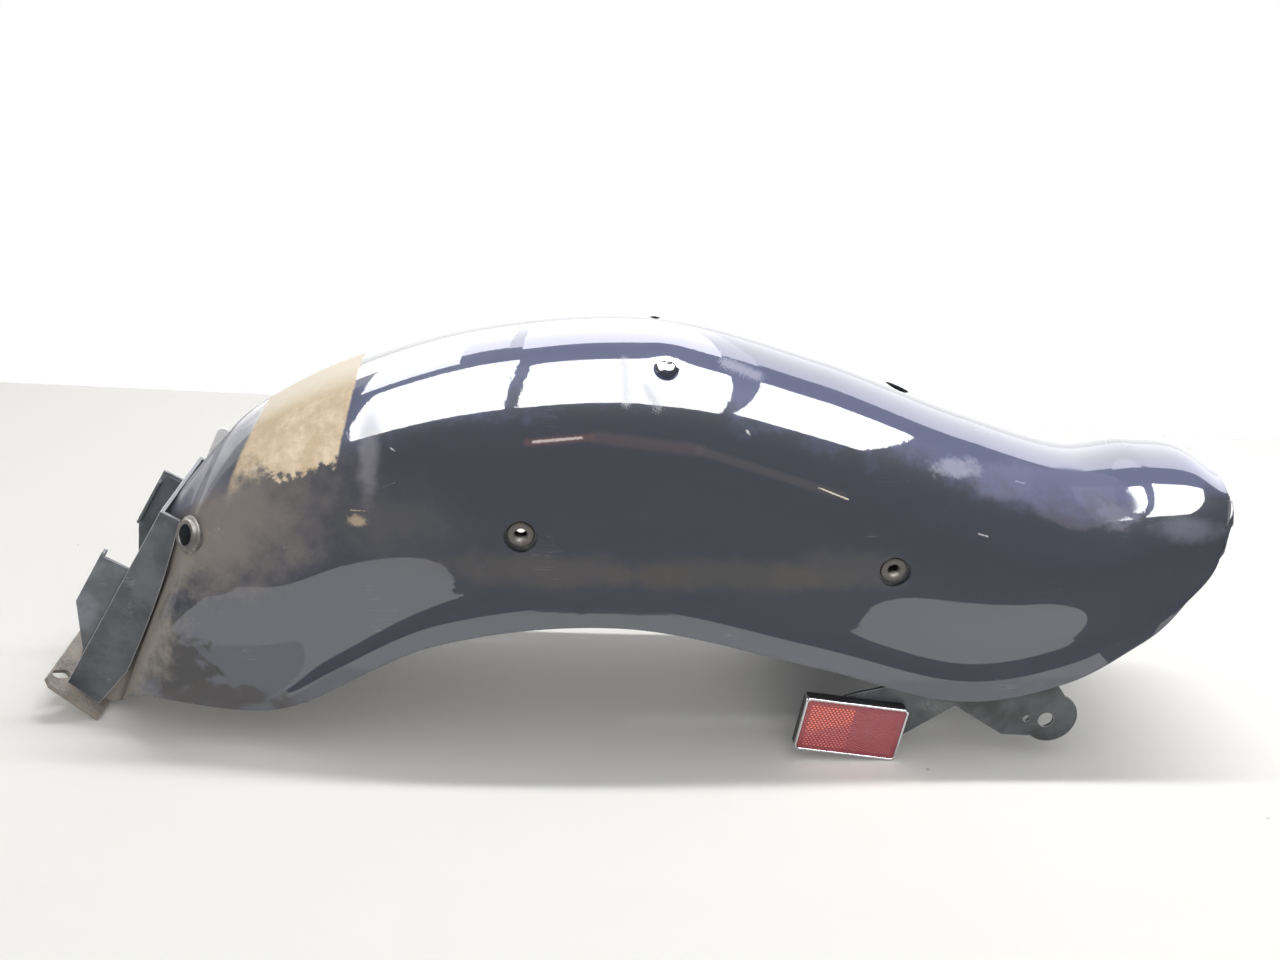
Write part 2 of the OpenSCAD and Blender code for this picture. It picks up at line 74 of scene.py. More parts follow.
class Tree:
    """Adds nodes to one node tree and links them."""

    def __init__(self, tree: bpy.types.NodeTree) -> None:
        """Keep the tree that every method adds to."""
        self.tree = tree

    def put(self, socket: Socket, value: Input) -> None:
        """Link a socket, or set its plain value; a colour may leave out its alpha."""
        if isinstance(value, bpy.types.NodeSocket):
            self.tree.links.new(value, socket)
        elif isinstance(value, (int, float)):
            socket.default_value = value
        else:
            size = len(socket.default_value)
            socket.default_value = (*value, 1.0)[:size] if len(value) < size else tuple(value)

    def node(
        self, kind: str, inputs: dict[str | int, Input] | None = None, **settings: object
    ) -> bpy.types.Node:
        """Add a node.

        Args:
            kind: the node's type name.
            inputs: values or links by the input's name or place.
            settings: the node's own settings.

        Returns:
            The new node.
        """
        made = self.tree.nodes.new(kind)
        for name, value in settings.items():
            setattr(made, name, value)
        for key, value in (inputs or {}).items():
            self.put(made.inputs[key], value)
        return made

    def math(self, operation: str, a: Input, b: Input = 0.0, clamp: bool = False) -> Socket:
        """Add a Math node and return its value."""
        made = self.node("ShaderNodeMath", {0: a, 1: b}, operation=operation, use_clamp=clamp)
        return made.outputs[0]

    def add(self, a: Input, b: Input) -> Socket:
        """Add two numbers."""
        return self.math("ADD", a, b)

    def sub(self, a: Input, b: Input) -> Socket:
        """Take one number from another."""
        return self.math("SUBTRACT", a, b)

    def mul(self, a: Input, b: Input) -> Socket:
        """Multiply two numbers."""
        return self.math("MULTIPLY", a, b)

    def div(self, a: Input, b: Input) -> Socket:
        """Divide one number by another."""
        return self.math("DIVIDE", a, b)

    def size(self, a: Input) -> Socket:
        """A number without its sign."""
        return self.math("ABSOLUTE", a)

    def most(self, *masks: Input) -> Socket:
        """The largest of several masks."""
        total = masks[0]
        for mask in masks[1:]:
            total = self.math("MAXIMUM", total, mask)
        return total

    def vector(self, operation: str, a: Input, b: Input = ORIGIN) -> Socket:
        """Add a Vector Math node and return its vector, or the value of a product or length."""
        made = self.node("ShaderNodeVectorMath", {0: a, 1: b}, operation=operation)
        return made.outputs["Value" if operation in ("DOT_PRODUCT", "LENGTH") else "Vector"]

    def step(self, value: Input, low: Input, high: Input) -> Socket:
        """Rise smoothly from 0 at low to 1 at high; high may be below low."""
        made = self.node(
            "ShaderNodeMapRange", {"Value": value, "From Min": low, "From Max": high},
            interpolation_type="SMOOTHSTEP",
        )
        return made.outputs[0]

    def mix(self, mask: Input, a: Input, b: Input) -> Socket:
        """Mix two colours by a mask."""
        made = self.node("ShaderNodeMix", {0: mask, 6: a, 7: b}, data_type="RGBA")
        return made.outputs[2]

    def lerp(self, mask: Input, a: Input, b: Input) -> Socket:
        """Mix two numbers by a mask."""
        made = self.node("ShaderNodeMix", {0: mask, 2: a, 3: b}, data_type="FLOAT")
        return made.outputs[0]

    def noise(
        self, vector: Input, scale: Input, detail: float = 4.0, roughness: float = 0.55
    ) -> Socket:
        """Add a Noise Texture and return its value."""
        inputs = {"Vector": vector, "Scale": scale, "Detail": detail, "Roughness": roughness}
        return self.node("ShaderNodeTexNoise", inputs).outputs[0]

    def wander(self, vector: Input, scale: Input, detail: float, roughness: float = 0.55) -> Socket:
        """Noise that wanders round zero."""
        return self.sub(self.noise(vector, scale, detail, roughness), 0.5)

    def place(self) -> Socket:
        """The place on the piece, in metres."""
        return self.node("ShaderNodeTexCoord").outputs["Object"]

    def bump(self, height: Socket, depth: float, strength: float, **more: Input) -> Socket:
        """A Bump node's normal for a height of the given depth in metres."""
        inputs = {"Height": height, "Distance": depth, "Strength": strength, **more}
        return self.node("ShaderNodeBump", inputs).outputs[0]

    def shader(self, colour: Input, roughness: Input, inputs: dict[str, Input]) -> Socket:
        """Add a Principled shader and return it."""
        common = {"Base Color": colour, "Roughness": roughness}
        return self.node("ShaderNodeBsdfPrincipled", common | inputs).outputs[0]


@dataclass
class SharedGroup:
    """A node group that gives a mask, placed by several finishes and built when first asked for.

    Attributes:
        name: the group's name.
        inputs: plain value by input name, besides Vector; a number or a vector.
        fill: adds the nodes, from the tree and the group's inputs, and returns the mask.
    """

    name: str
    inputs: dict[str, Input]
    fill: Callable[[Tree, Sequence[Socket]], Socket]

    @cached_property
    def group(self) -> bpy.types.NodeTree:
        """The group's node tree."""
        group = bpy.data.node_groups.new(self.name, "ShaderNodeTree")
        for name, value in {"Vector": ORIGIN, **self.inputs}.items():
            kind = "Float" if isinstance(value, float) else "Vector"
            socket = group.interface.new_socket(
                name=name, in_out="INPUT", socket_type=f"NodeSocket{kind}"
            )
            socket.default_value = value
        group.interface.new_socket(name="Mask", in_out="OUTPUT", socket_type="NodeSocketFloat")
        tree = Tree(group)
        source = tree.node("NodeGroupInput")
        target = tree.node("NodeGroupOutput")
        tree.put(target.inputs["Mask"], self.fill(tree, source.outputs))
        return group

    def mask(self, tree: Tree, place: Input, **inputs: Input) -> Socket:
        """Place the group in a finish with its own values and return the mask."""
        made = tree.node("ShaderNodeGroup", node_tree=self.group)
        for name, value in {"Vector": place, **inputs}.items():
            tree.put(made.inputs[name], value)
        return made.outputs[0]


def fill_stroke(tree: Tree, get: Sequence[Socket]) -> Socket:
    """A mark along a straight line between two points, frayed by noise."""
    run = tree.vector("SUBTRACT", get["To"], get["From"])
    off = tree.vector("SUBTRACT", get["Vector"], get["From"])
    square = tree.vector("DOT_PRODUCT", run, run)
    reach = tree.vector("DOT_PRODUCT", off, run)
    share = tree.math("DIVIDE", reach, square, clamp=True)
    foot = tree.node("ShaderNodeVectorMath", {0: run, "Scale": share}, operation="SCALE")
    far = tree.vector("LENGTH", tree.vector("SUBTRACT", off, foot.outputs[0]))
    bent = tree.mul(tree.mul(tree.wander(get["Vector"], 900.0, 3.0), get["Fray"]), get["Width"])
    return tree.step(tree.add(far, bent), get["Width"], tree.mul(get["Width"], 0.35))


def fill_patch(tree: Tree, get: Sequence[Socket]) -> Socket:
    """A soft uneven patch round a point."""
    off = tree.vector("SUBTRACT", get["Vector"], get["Centre"])
    far = tree.vector("LENGTH", tree.vector("DIVIDE", off, get["Size"]))
    cloud = tree.wander(get["Vector"], get["Scale"], 6.0, 0.62)
    broken = tree.add(far, tree.mul(cloud, get["Break"]))
    return tree.step(broken, 1.0, tree.sub(1.0, get["Soft"]))


def fill_scratches(tree: Tree, get: Sequence[Socket]) -> Socket:
    """Fine crossing scratches that come and go."""
    masks = []
    for turn, stretch in ((0.18, 38.0), (-0.42, 30.0), (1.25, 34.0)):
        drawn = tree.node("ShaderNodeMapping", {
            "Vector": get["Vector"], "Location": (turn, 0.3, turn), "Rotation": (0.0, turn, 0.0),
            "Scale": (1.0, 1.0, stretch),
        }).outputs[0]
        lines = tree.size(tree.wander(drawn, get["Scale"], 1.0, 0.4))
        masks.append(tree.step(lines, 0.007, 0.001))
    gate = tree.noise(get["Vector"], tree.mul(get["Scale"], 2.2), 3.0)
    low = tree.sub(0.78, tree.mul(get["Amount"], 0.4))
    return tree.mul(tree.most(*masks), tree.step(gate, low, tree.add(low, 0.08)))


def fill_dust(tree: Tree, get: Sequence[Socket]) -> Socket:
    """Dust that settles where a surface faces up, in clouds and specks."""
    normal = tree.node("ShaderNodeNewGeometry").outputs["Normal"]
    up = tree.node("ShaderNodeSeparateXYZ", {0: normal}).outputs["Z"]
    facing = tree.lerp(get["Up"], 1.0, tree.step(up, -0.1, 0.9))
    cloud = tree.noise(get["Vector"], get["Scale"], 6.0, 0.65)
    specks = tree.noise(get["Vector"], tree.mul(get["Scale"], 14.0), 2.0, 0.7)
    both = tree.add(tree.mul(cloud, 0.72), tree.mul(specks, 0.28))
    low = tree.sub(0.75, tree.mul(get["Amount"], 0.5))
    return tree.mul(tree.step(both, low, tree.add(low, 0.22)), facing)


def fill_wear(tree: Tree, get: Sequence[Socket]) -> Socket:
    """Wear on the edges, found from how far a rounded normal turns there."""
    round_normal = tree.node("ShaderNodeBevel", {"Radius": get["Radius"]}, samples=4).outputs[0]
    true_normal = tree.node("ShaderNodeNewGeometry").outputs["True Normal"]
    edge = tree.step(tree.vector("DOT_PRODUCT", round_normal, true_normal), 0.995, 0.86)
    broken = tree.noise(get["Vector"], get["Scale"], 5.0, 0.7)
    low = tree.sub(0.72, tree.mul(get["Amount"], 0.5))
    return tree.mul(edge, tree.step(broken, low, tree.add(low, 0.1)))


STROKE = SharedGroup(
    "stroke", {"From": ORIGIN, "To": ORIGIN, "Width": 0.002, "Fray": 1.0}, fill_stroke
)
PATCH = SharedGroup(
    "patch", {"Centre": ORIGIN, "Size": (1.0,) * 3, "Soft": 0.5, "Break": 1.0, "Scale": 40.0},
    fill_patch,
)
SCRATCHES = SharedGroup("scratches", {"Scale": 12.0, "Amount": 0.5}, fill_scratches)
DUST = SharedGroup("dust", {"Scale": 40.0, "Amount": 0.5, "Up": 1.0}, fill_dust)
WEAR = SharedGroup("edge_wear", {"Radius": 0.0012, "Amount": 0.5, "Scale": 160.0}, fill_wear)


# ---------------------------------------------------------------- finishes


@dataclass(frozen=True)
class Finish:
    """A finish with a name; a subclass adds its nodes."""

    name: str

    def build(self) -> bpy.types.Material:
        """Make the material, or return the one made before."""
        found = bpy.data.materials.get(f"{self.name}_finish")
        if found:
            return found
        material = bpy.data.materials.new(f"{self.name}_finish")
        material.use_nodes = True
        material.node_tree.nodes.clear()
        tree = Tree(material.node_tree)
        output = tree.node("ShaderNodeOutputMaterial")
        tree.put(output.inputs["Surface"], self.surface(tree))
        return material

    def surface(self, tree: Tree) -> Socket:
        """Add the finish's nodes and return its shader."""
        raise NotImplementedError


@dataclass(frozen=True)
class Mark:
    """A straight mark on the paint: a scratch, a streak, a chip, or a chip with a painted highlight.
    """

    start: tuple[float, float, float]
    end: tuple[float, float, float]
    width: float
    colour: Colour
    strength: float = 1.0
    fray: float = 1.6


@dataclass(frozen=True)
class Cloud:
    """A soft patch on the paint: dust, haze, smeared dirt, or a painted reflection tone."""

    centre: tuple[float, float, float]
    size: tuple[float, float, float]
    colour: Colour
    strength: float
    soft: float = 0.6
    broken: float = 1.2
    scale: float = 45.0
    cover: float = 0.8


TAN = (0.62, 0.48, 0.32)
PALE_TAN = (0.80, 0.68, 0.52)
CREAM = (0.88, 0.80, 0.66)
OLIVE = (0.17, 0.145, 0.11)
DUSTY = (0.27, 0.245, 0.215)
BROWN = (0.225, 0.200, 0.180)
NOSE_GREY = (0.235, 0.24, 0.29)
# Colour of the painted sheen along the crown.
PAINTED_SHEEN_BLUE = (0.20, 0.225, 0.42)
LILAC = (0.46, 0.46, 0.56)
PALE = (0.72, 0.71, 0.73)
PAPER = (1.0, 1.0, 1.0)


@dataclass(frozen=True)
class FenderPaint(Finish):
    """Gloss dark navy paint with scratches, haze, dust, a band of dried dirt and painted sheen.

    The piece carries two attributes: station, along the loft, and down, the share of the way
    from the crown line to the lower edge.
    """

    # The navy is lighter than the paint's own: it carries a painted sheen of the dim room that the
    # walls mirror.
    colour: Colour = (0.064, 0.069, 0.087)
    band: Point = (2.16, 3.13)
    marks: tuple[Mark, ...] = ()
    clouds: tuple[Cloud, ...] = ()

    def dirt_band(self, tree: Tree, place: Socket, along: Socket, down: Socket) -> Socket:
        """The band of dried dirt across the crown before the front screw.

        Args:
            tree: the material's tree.
            place: object coordinates.
            along: station along the loft.
            down: share of the way down, without its sign.

        Returns:
            The mask of the band.
        """
        wander = tree.wander(place, 26.0, 6.0, 0.65)
        fine = tree.wander(place, 170.0, 4.0, 0.6)
        left = tree.add(along, tree.mul(wander, 0.16))
        right = tree.add(along, tree.mul(fine, 0.025))
        begin = tree.step(left, self.band[0] - 0.03, self.band[0] + 0.03)
        end = tree.step(right, self.band[1] + 0.012, self.band[1] - 0.012)
        low = tree.add(down, tree.mul(wander, 0.26))
        flaked = tree.add(low, tree.mul(fine, 0.07))
        faint = tree.step(along, 2.65, 2.2)
        stop = tree.step(flaked, tree.lerp(faint, 0.225, 0.25), tree.lerp(faint, 0.205, 0.10))
        return tree.mul(tree.mul(begin, end), stop)

    def hazes_and_sheen(
        self, tree: Tree, place: Socket, along: Socket, down: Socket
    ) -> list[tuple[Socket, Colour, float]]:
        """Dust in the neck, brown haze on the wall behind it, grey haze on the nose and a painted
        blue-grey sheen beside the crown line.

        Args:
            tree: the material's tree.
            place: object coordinates.
            along: station along the loft.
            down: share of the way down, without its sign.

        Returns:
            Each haze's mask and colour, and how far it dulls the gloss.
        """
        cloud = tree.wander(place, 30.0, 7.0, 0.66)
        reach = tree.add(along, tree.mul(cloud, 1.3))
        level = tree.add(down, tree.mul(cloud, 0.34))
        wall = tree.mul(tree.step(reach, 3.5, 2.35), tree.step(level, 0.12, 0.24))
        wall = tree.mul(wall, tree.step(level, 0.66, 0.42))
        neck = tree.mul(tree.step(reach, 2.3, 1.8), tree.step(level, 0.20, 0.34))
        nose = tree.mul(tree.step(reach, 2.5, 1.5), tree.step(level, 0.34, 0.22))
        # ridge is a painted sheen: a blue-grey tint beside the crown line, behind the band, for the
        # reflections between the ceiling lights; it dulls the gloss only a little.
        ridge = tree.mul(tree.step(down, 0.01, 0.05), tree.step(level, 0.24, 0.10))
        ridge = tree.mul(ridge, tree.step(along, 2.9, 3.3))
        return [
            (tree.mul(ridge, 0.38), PAINTED_SHEEN_BLUE, 0.15), (tree.mul(nose, 0.74), NOSE_GREY, 1.0),
            (tree.mul(wall, 0.80), BROWN, 1.0), (tree.mul(neck, 0.93), DUSTY, 1.0),
        ]

    def drawn(self, tree: Tree, place: Socket) -> tuple[Socket, Socket]:
        """The paint's colour under its clouds and marks, and how far they cover the gloss."""
        colour: Input = self.colour
        cover: Input = 0.0
        for cloud in self.clouds:
            mask = PATCH.mask(
                tree, place, Centre=cloud.centre, Size=cloud.size, Soft=cloud.soft,
                Break=cloud.broken, Scale=cloud.scale,
            )
            veil = tree.mul(mask, cloud.strength)
            colour = tree.mix(veil, colour, cloud.colour)
            cover = tree.most(cover, tree.mul(veil, cloud.cover))
        for mark in self.marks:
            mask = STROKE.mask(
                tree, place, From=mark.start, To=mark.end, Width=mark.width, Fray=mark.fray
            )
            veil = tree.mul(mask, mark.strength)
            colour = tree.mix(veil, colour, mark.colour)
            cover = tree.most(cover, veil)
        return colour, cover

    def surface(self, tree: Tree) -> Socket:
        """Add the paint's nodes and return its shader."""
        place = tree.place()
        along = tree.node("ShaderNodeAttribute", attribute_name="station").outputs["Fac"]
        signed = tree.node("ShaderNodeAttribute", attribute_name="down").outputs["Fac"]
        down = tree.size(signed)
        colour, cover = self.drawn(tree, place)
        scratch = SCRATCHES.mask(tree, place, Scale=9.0, Amount=0.42)
        colour = tree.mix(tree.mul(scratch, 0.16), colour, LILAC)
        film = DUST.mask(tree, place, Scale=22.0, Amount=0.3, Up=0.3)
        colour = tree.mix(tree.mul(film, 0.05), colour, OLIVE)
        for veil, shade, dulls in self.hazes_and_sheen(tree, place, along, down):
            colour = tree.mix(veil, colour, shade)
            cover = tree.most(cover, tree.mul(veil, dulls))
        band = self.dirt_band(tree, place, along, down)
        mottle = tree.noise(place, 60.0, 7.0, 0.7)
        pale = tree.step(tree.add(down, tree.mul(mottle, 0.06)), 0.075, 0.03)
        soil = tree.mix(tree.step(mottle, 0.38, 0.70), TAN, PALE_TAN)
        colour = tree.mix(band, colour, tree.mix(pale, soil, CREAM))
        cover = tree.math("MAXIMUM", cover, band, clamp=True)
        peel = tree.noise(place, 240.0, 2.0, 0.4)
        crust = tree.mul(tree.noise(place, 420.0, 5.0, 0.7), band)
        skin = tree.bump(peel, 0.00003, 0.5)
        relief = tree.add(crust, tree.mul(band, 0.6))
        return tree.shader(colour, tree.lerp(cover, 0.30, 0.85), {
            "Coat Weight": tree.math("SUBTRACT", 1.0, cover, clamp=True),
            "Specular IOR Level": 0.08,
            "Coat Roughness": 0.02,
            "Coat IOR": 1.70,
            "Normal": tree.bump(relief, 0.0004, 0.5, Normal=skin),
            "Coat Normal": skin,
        })


@dataclass(frozen=True)
class SatinPaint(Finish):
    """Satin paint on a plate, worn pale on its edges, with scratches and dust."""

    colour: Colour
    worn: Colour = (0.16, 0.16, 0.165)
    dust: Colour = (0.22, 0.19, 0.15)
    roughness: float = 0.36
    wear: float = 0.5
    dusty: float = 0.25
    dust_up: float = 0.7
    shade: float = 0.35

    def surface(self, tree: Tree) -> Socket:
        """Add the paint's nodes and return its shader."""
        place = tree.place()
        tone = tree.noise(place, 30.0, 5.0, 0.6)
        deep = tuple(c * (1 - self.shade) for c in self.colour)
        light = tuple(min(1.0, c * (1 + self.shade)) for c in self.colour)
        colour = tree.mix(tree.step(tone, 0.32, 0.68), deep, light)
        scratch = SCRATCHES.mask(tree, place, Scale=24.0, Amount=0.5)
        wear = WEAR.mask(tree, place, Amount=self.wear)
        colour = tree.mix(tree.most(tree.mul(scratch, 0.5), wear), colour, self.worn)
        dust = DUST.mask(tree, place, Scale=36.0, Amount=self.dusty, Up=self.dust_up)
        colour = tree.mix(tree.mul(dust, 0.85), colour, self.dust)
        grain = tree.noise(place, 900.0, 3.0, 0.6)
        clean = tree.lerp(tone, self.roughness - 0.07, self.roughness + 0.09)
        rough = tree.lerp(dust, clean, 0.85)
        return tree.shader(colour, rough, {"Normal": tree.bump(grain, 0.00012, 0.35)})


@dataclass(frozen=True)
class BareSteel(Finish):
    """Dull zinc or bare steel with stains and fine turning marks."""

    colour: Colour
    stain: Colour = (0.16, 0.11, 0.07)
    roughness: float = 0.38
    stained: float = 0.35

    def surface(self, tree: Tree) -> Socket:
        """Add the metal's nodes and return its shader."""
        place = tree.place()
        tone = tree.noise(place, 70.0, 5.0, 0.65)
        stain = tree.step(tone, 0.72 - 0.4 * self.stained, 0.86 - 0.4 * self.stained)
        colour = tree.mix(stain, self.colour, self.stain)
        scratch = SCRATCHES.mask(tree, place, Scale=40.0, Amount=0.6)
        colour = tree.mix(tree.mul(scratch, 0.4), colour, (0.7, 0.7, 0.7))
        rough = tree.lerp(tone, self.roughness - 0.1, self.roughness + 0.2)
        return tree.shader(colour, rough, {
            "Metallic": tree.lerp(stain, 1.0, 0.25),
            "Normal": tree.bump(tree.noise(place, 700.0, 3.0), 0.0001, 0.3),
        })


@dataclass(frozen=True)
class Chrome(Finish):
    """Bright chrome with faint marks."""

    colour: Colour = (0.80, 0.80, 0.81)
    roughness: float = 0.07
    smeared: Colour = (0.55, 0.53, 0.52)

    def surface(self, tree: Tree) -> Socket:
        """Add the chrome's nodes and return its shader."""
        place = tree.place()
        smear = tree.noise(place, 120.0, 5.0, 0.6)
        scratch = SCRATCHES.mask(tree, place, Scale=60.0, Amount=0.4)
        dull = tree.add(tree.mul(smear, 0.14), tree.mul(scratch, 0.25))
        colour = tree.mix(tree.step(smear, 0.55, 0.8), self.colour, self.smeared)
        return tree.shader(colour, tree.add(self.roughness, dull), {"Metallic": 1.0})


@dataclass(frozen=True)
class Plastic(Finish):
    """Moulded plastic with a fine grain and a little dust."""

    colour: Colour = (0.018, 0.018, 0.02)
    dust: Colour = (0.14, 0.12, 0.10)
    roughness: float = 0.42

    def surface(self, tree: Tree) -> Socket:
        """Add the plastic's nodes and return its shader."""
        place = tree.place()
        grain = tree.noise(place, 1400.0, 2.0, 0.6)
        dust = DUST.mask(tree, place, Scale=50.0, Amount=0.35, Up=0.8)
        colour = tree.mix(tree.mul(dust, 0.5), self.colour, self.dust)
        rough = tree.lerp(dust, self.roughness, 0.8)
        return tree.shader(colour, rough, {"Normal": tree.bump(grain, 0.00008, 0.5)})


@dataclass(frozen=True)
class ReflexLens(Finish):
    """Clear red reflex lens: hexagon cells in front, fine slanting ribs behind, plain rim. The cells
    carry a painted glint, brighter towards the top, and the lens glows faintly.

    The piece's UV map runs across its face in millimetres from its middle.
    """

    cell: Point = (3.4, 2.8)
    rib: float = 1.8
    parting: float = -1.5
    half: Point = (39.8, 20.2)
    deep: Colour = (0.20, 0.022, 0.035)
    # rose and bright paint the lens's glint.
    rose: Colour = (0.44, 0.11, 0.125)
    bright: Colour = (0.92, 0.20, 0.13)

    def surface(self, tree: Tree) -> Socket:
        """Add the lens's nodes and return its shader."""
        face = tree.node("ShaderNodeUVMap", uv_map="face").outputs[0]
        part = tree.node("ShaderNodeSeparateXYZ", {0: face})
        across, up = part.outputs["X"], part.outputs["Y"]
        hexes = self.hexagons(
            tree, tree.div(across, self.cell[0]), tree.div(up, self.cell[1] * 0.87)
        )
        slant = tree.sub(tree.mul(up, 0.866), tree.mul(across, 0.5))
        ridge = tree.size(tree.sub(tree.math("FRACT", tree.div(slant, self.rib)), 0.5))
        front = tree.step(across, self.parting + 0.3, self.parting - 0.3)
        wave = tree.lerp(front, tree.mul(ridge, 1.8), hexes)
        rim = tree.most(*(
            tree.step(tree.size(way), half - 0.4, half + 0.4)
            for way, half in zip((across, up), self.half)
        ))
        # Painted glint: the cells' centres turn rose, and on the front bright orange-red, strongest
        # in the upper part, standing in for light caught in the lens.
        lit = tree.step(wave, 0.15, 0.8)
        upper = tree.step(tree.sub(up, tree.mul(across, 0.3)), 2.0, 9.0)
        tone = tree.noise(face, 0.35, 2.0)
        zone = tree.add(tree.mul(upper, 0.55), tree.mul(tone, 0.7))
        painted_glint = tree.math("MULTIPLY", lit, tree.mul(front, zone), clamp=True)
        calm = tree.mix(tree.mul(lit, 0.75), self.deep, self.rose)
        colour = tree.mix(painted_glint, calm, self.bright)
        colour = tree.mix(tree.mul(rim, 0.8), colour, self.deep)
        height = tree.mul(wave, tree.sub(1.0, rim))
        return tree.shader(colour, 0.25, {
            "IOR": 1.49, "Coat Weight": 0.6, "Coat Roughness": 0.08,
            "Normal": tree.bump(height, 0.0008, 0.6),
            # The lens glows faintly in its own colour: painted light, as it is no lamp.
            "Emission Color": colour, "Emission Strength": 0.08,
        })

    @staticmethod
    def hexagons(tree: Tree, across: Socket, up: Socket) -> Socket:
        """Height of hexagon cells: 1 in the middle of each and 0 on its border.

        Args:
            tree: the material's tree.
            across: place along the face, in cells.
            up: place up the face, in cells.

        Returns:
            The height.
        """
        near = []
        for shift in (0.0, 0.5):
            x = tree.sub(tree.math("FRACT", tree.add(across, shift)), 0.5)
            row = tree.add(tree.div(up, 1.732), shift)
            y = tree.mul(tree.sub(tree.math("FRACT", row), 0.5), 1.732)
            x, y = tree.size(x), tree.size(y)
            slant = tree.add(tree.mul(x, 0.5), tree.mul(y, 0.866))
            near.append(tree.most(x, slant))
        edge = tree.math("MINIMUM", near[0], near[1])
        return tree.step(edge, 0.5, 0.12)


@dataclass(frozen=True)
class PlainFloor(Finish):
    """White studio floor with a few specks of dirt."""

    colour: Colour = (0.93, 0.92, 0.885)
    speck: Colour = (0.45, 0.38, 0.30)

    def surface(self, tree: Tree) -> Socket:
        """Add the floor's nodes and return its shader."""
        place = tree.place()
        tone = tree.noise(place, 1.4, 3.0, 0.5)
        colour = tree.mix(tone, self.colour, tuple(c * 0.97 for c in self.colour))
        cells = tree.node("ShaderNodeTexVoronoi", {"Vector": place, "Scale": 17.0})
        rare = tree.noise(place, 5.0, 1.0)
        dots = tree.step(cells.outputs["Distance"], 0.034, 0.018)
        speck = tree.mul(dots, tree.step(rare, 0.50, 0.54))
        colour = tree.mix(tree.mul(speck, 0.6), colour, self.speck)
        return tree.shader(colour, 0.9, {"Specular IOR Level": 0.2})


@dataclass(frozen=True)
class Glow(Finish):
    """A plain lit or dim surface of the studio, seen only in reflections."""

    colour: Colour
    strength: float

    def surface(self, tree: Tree) -> Socket:
        """Add the emission and return it."""
        inputs = {"Color": self.colour, "Strength": self.strength}
        return tree.node("ShaderNodeEmission", inputs).outputs[0]


# ---------------------------------------------------------------- the fender's form


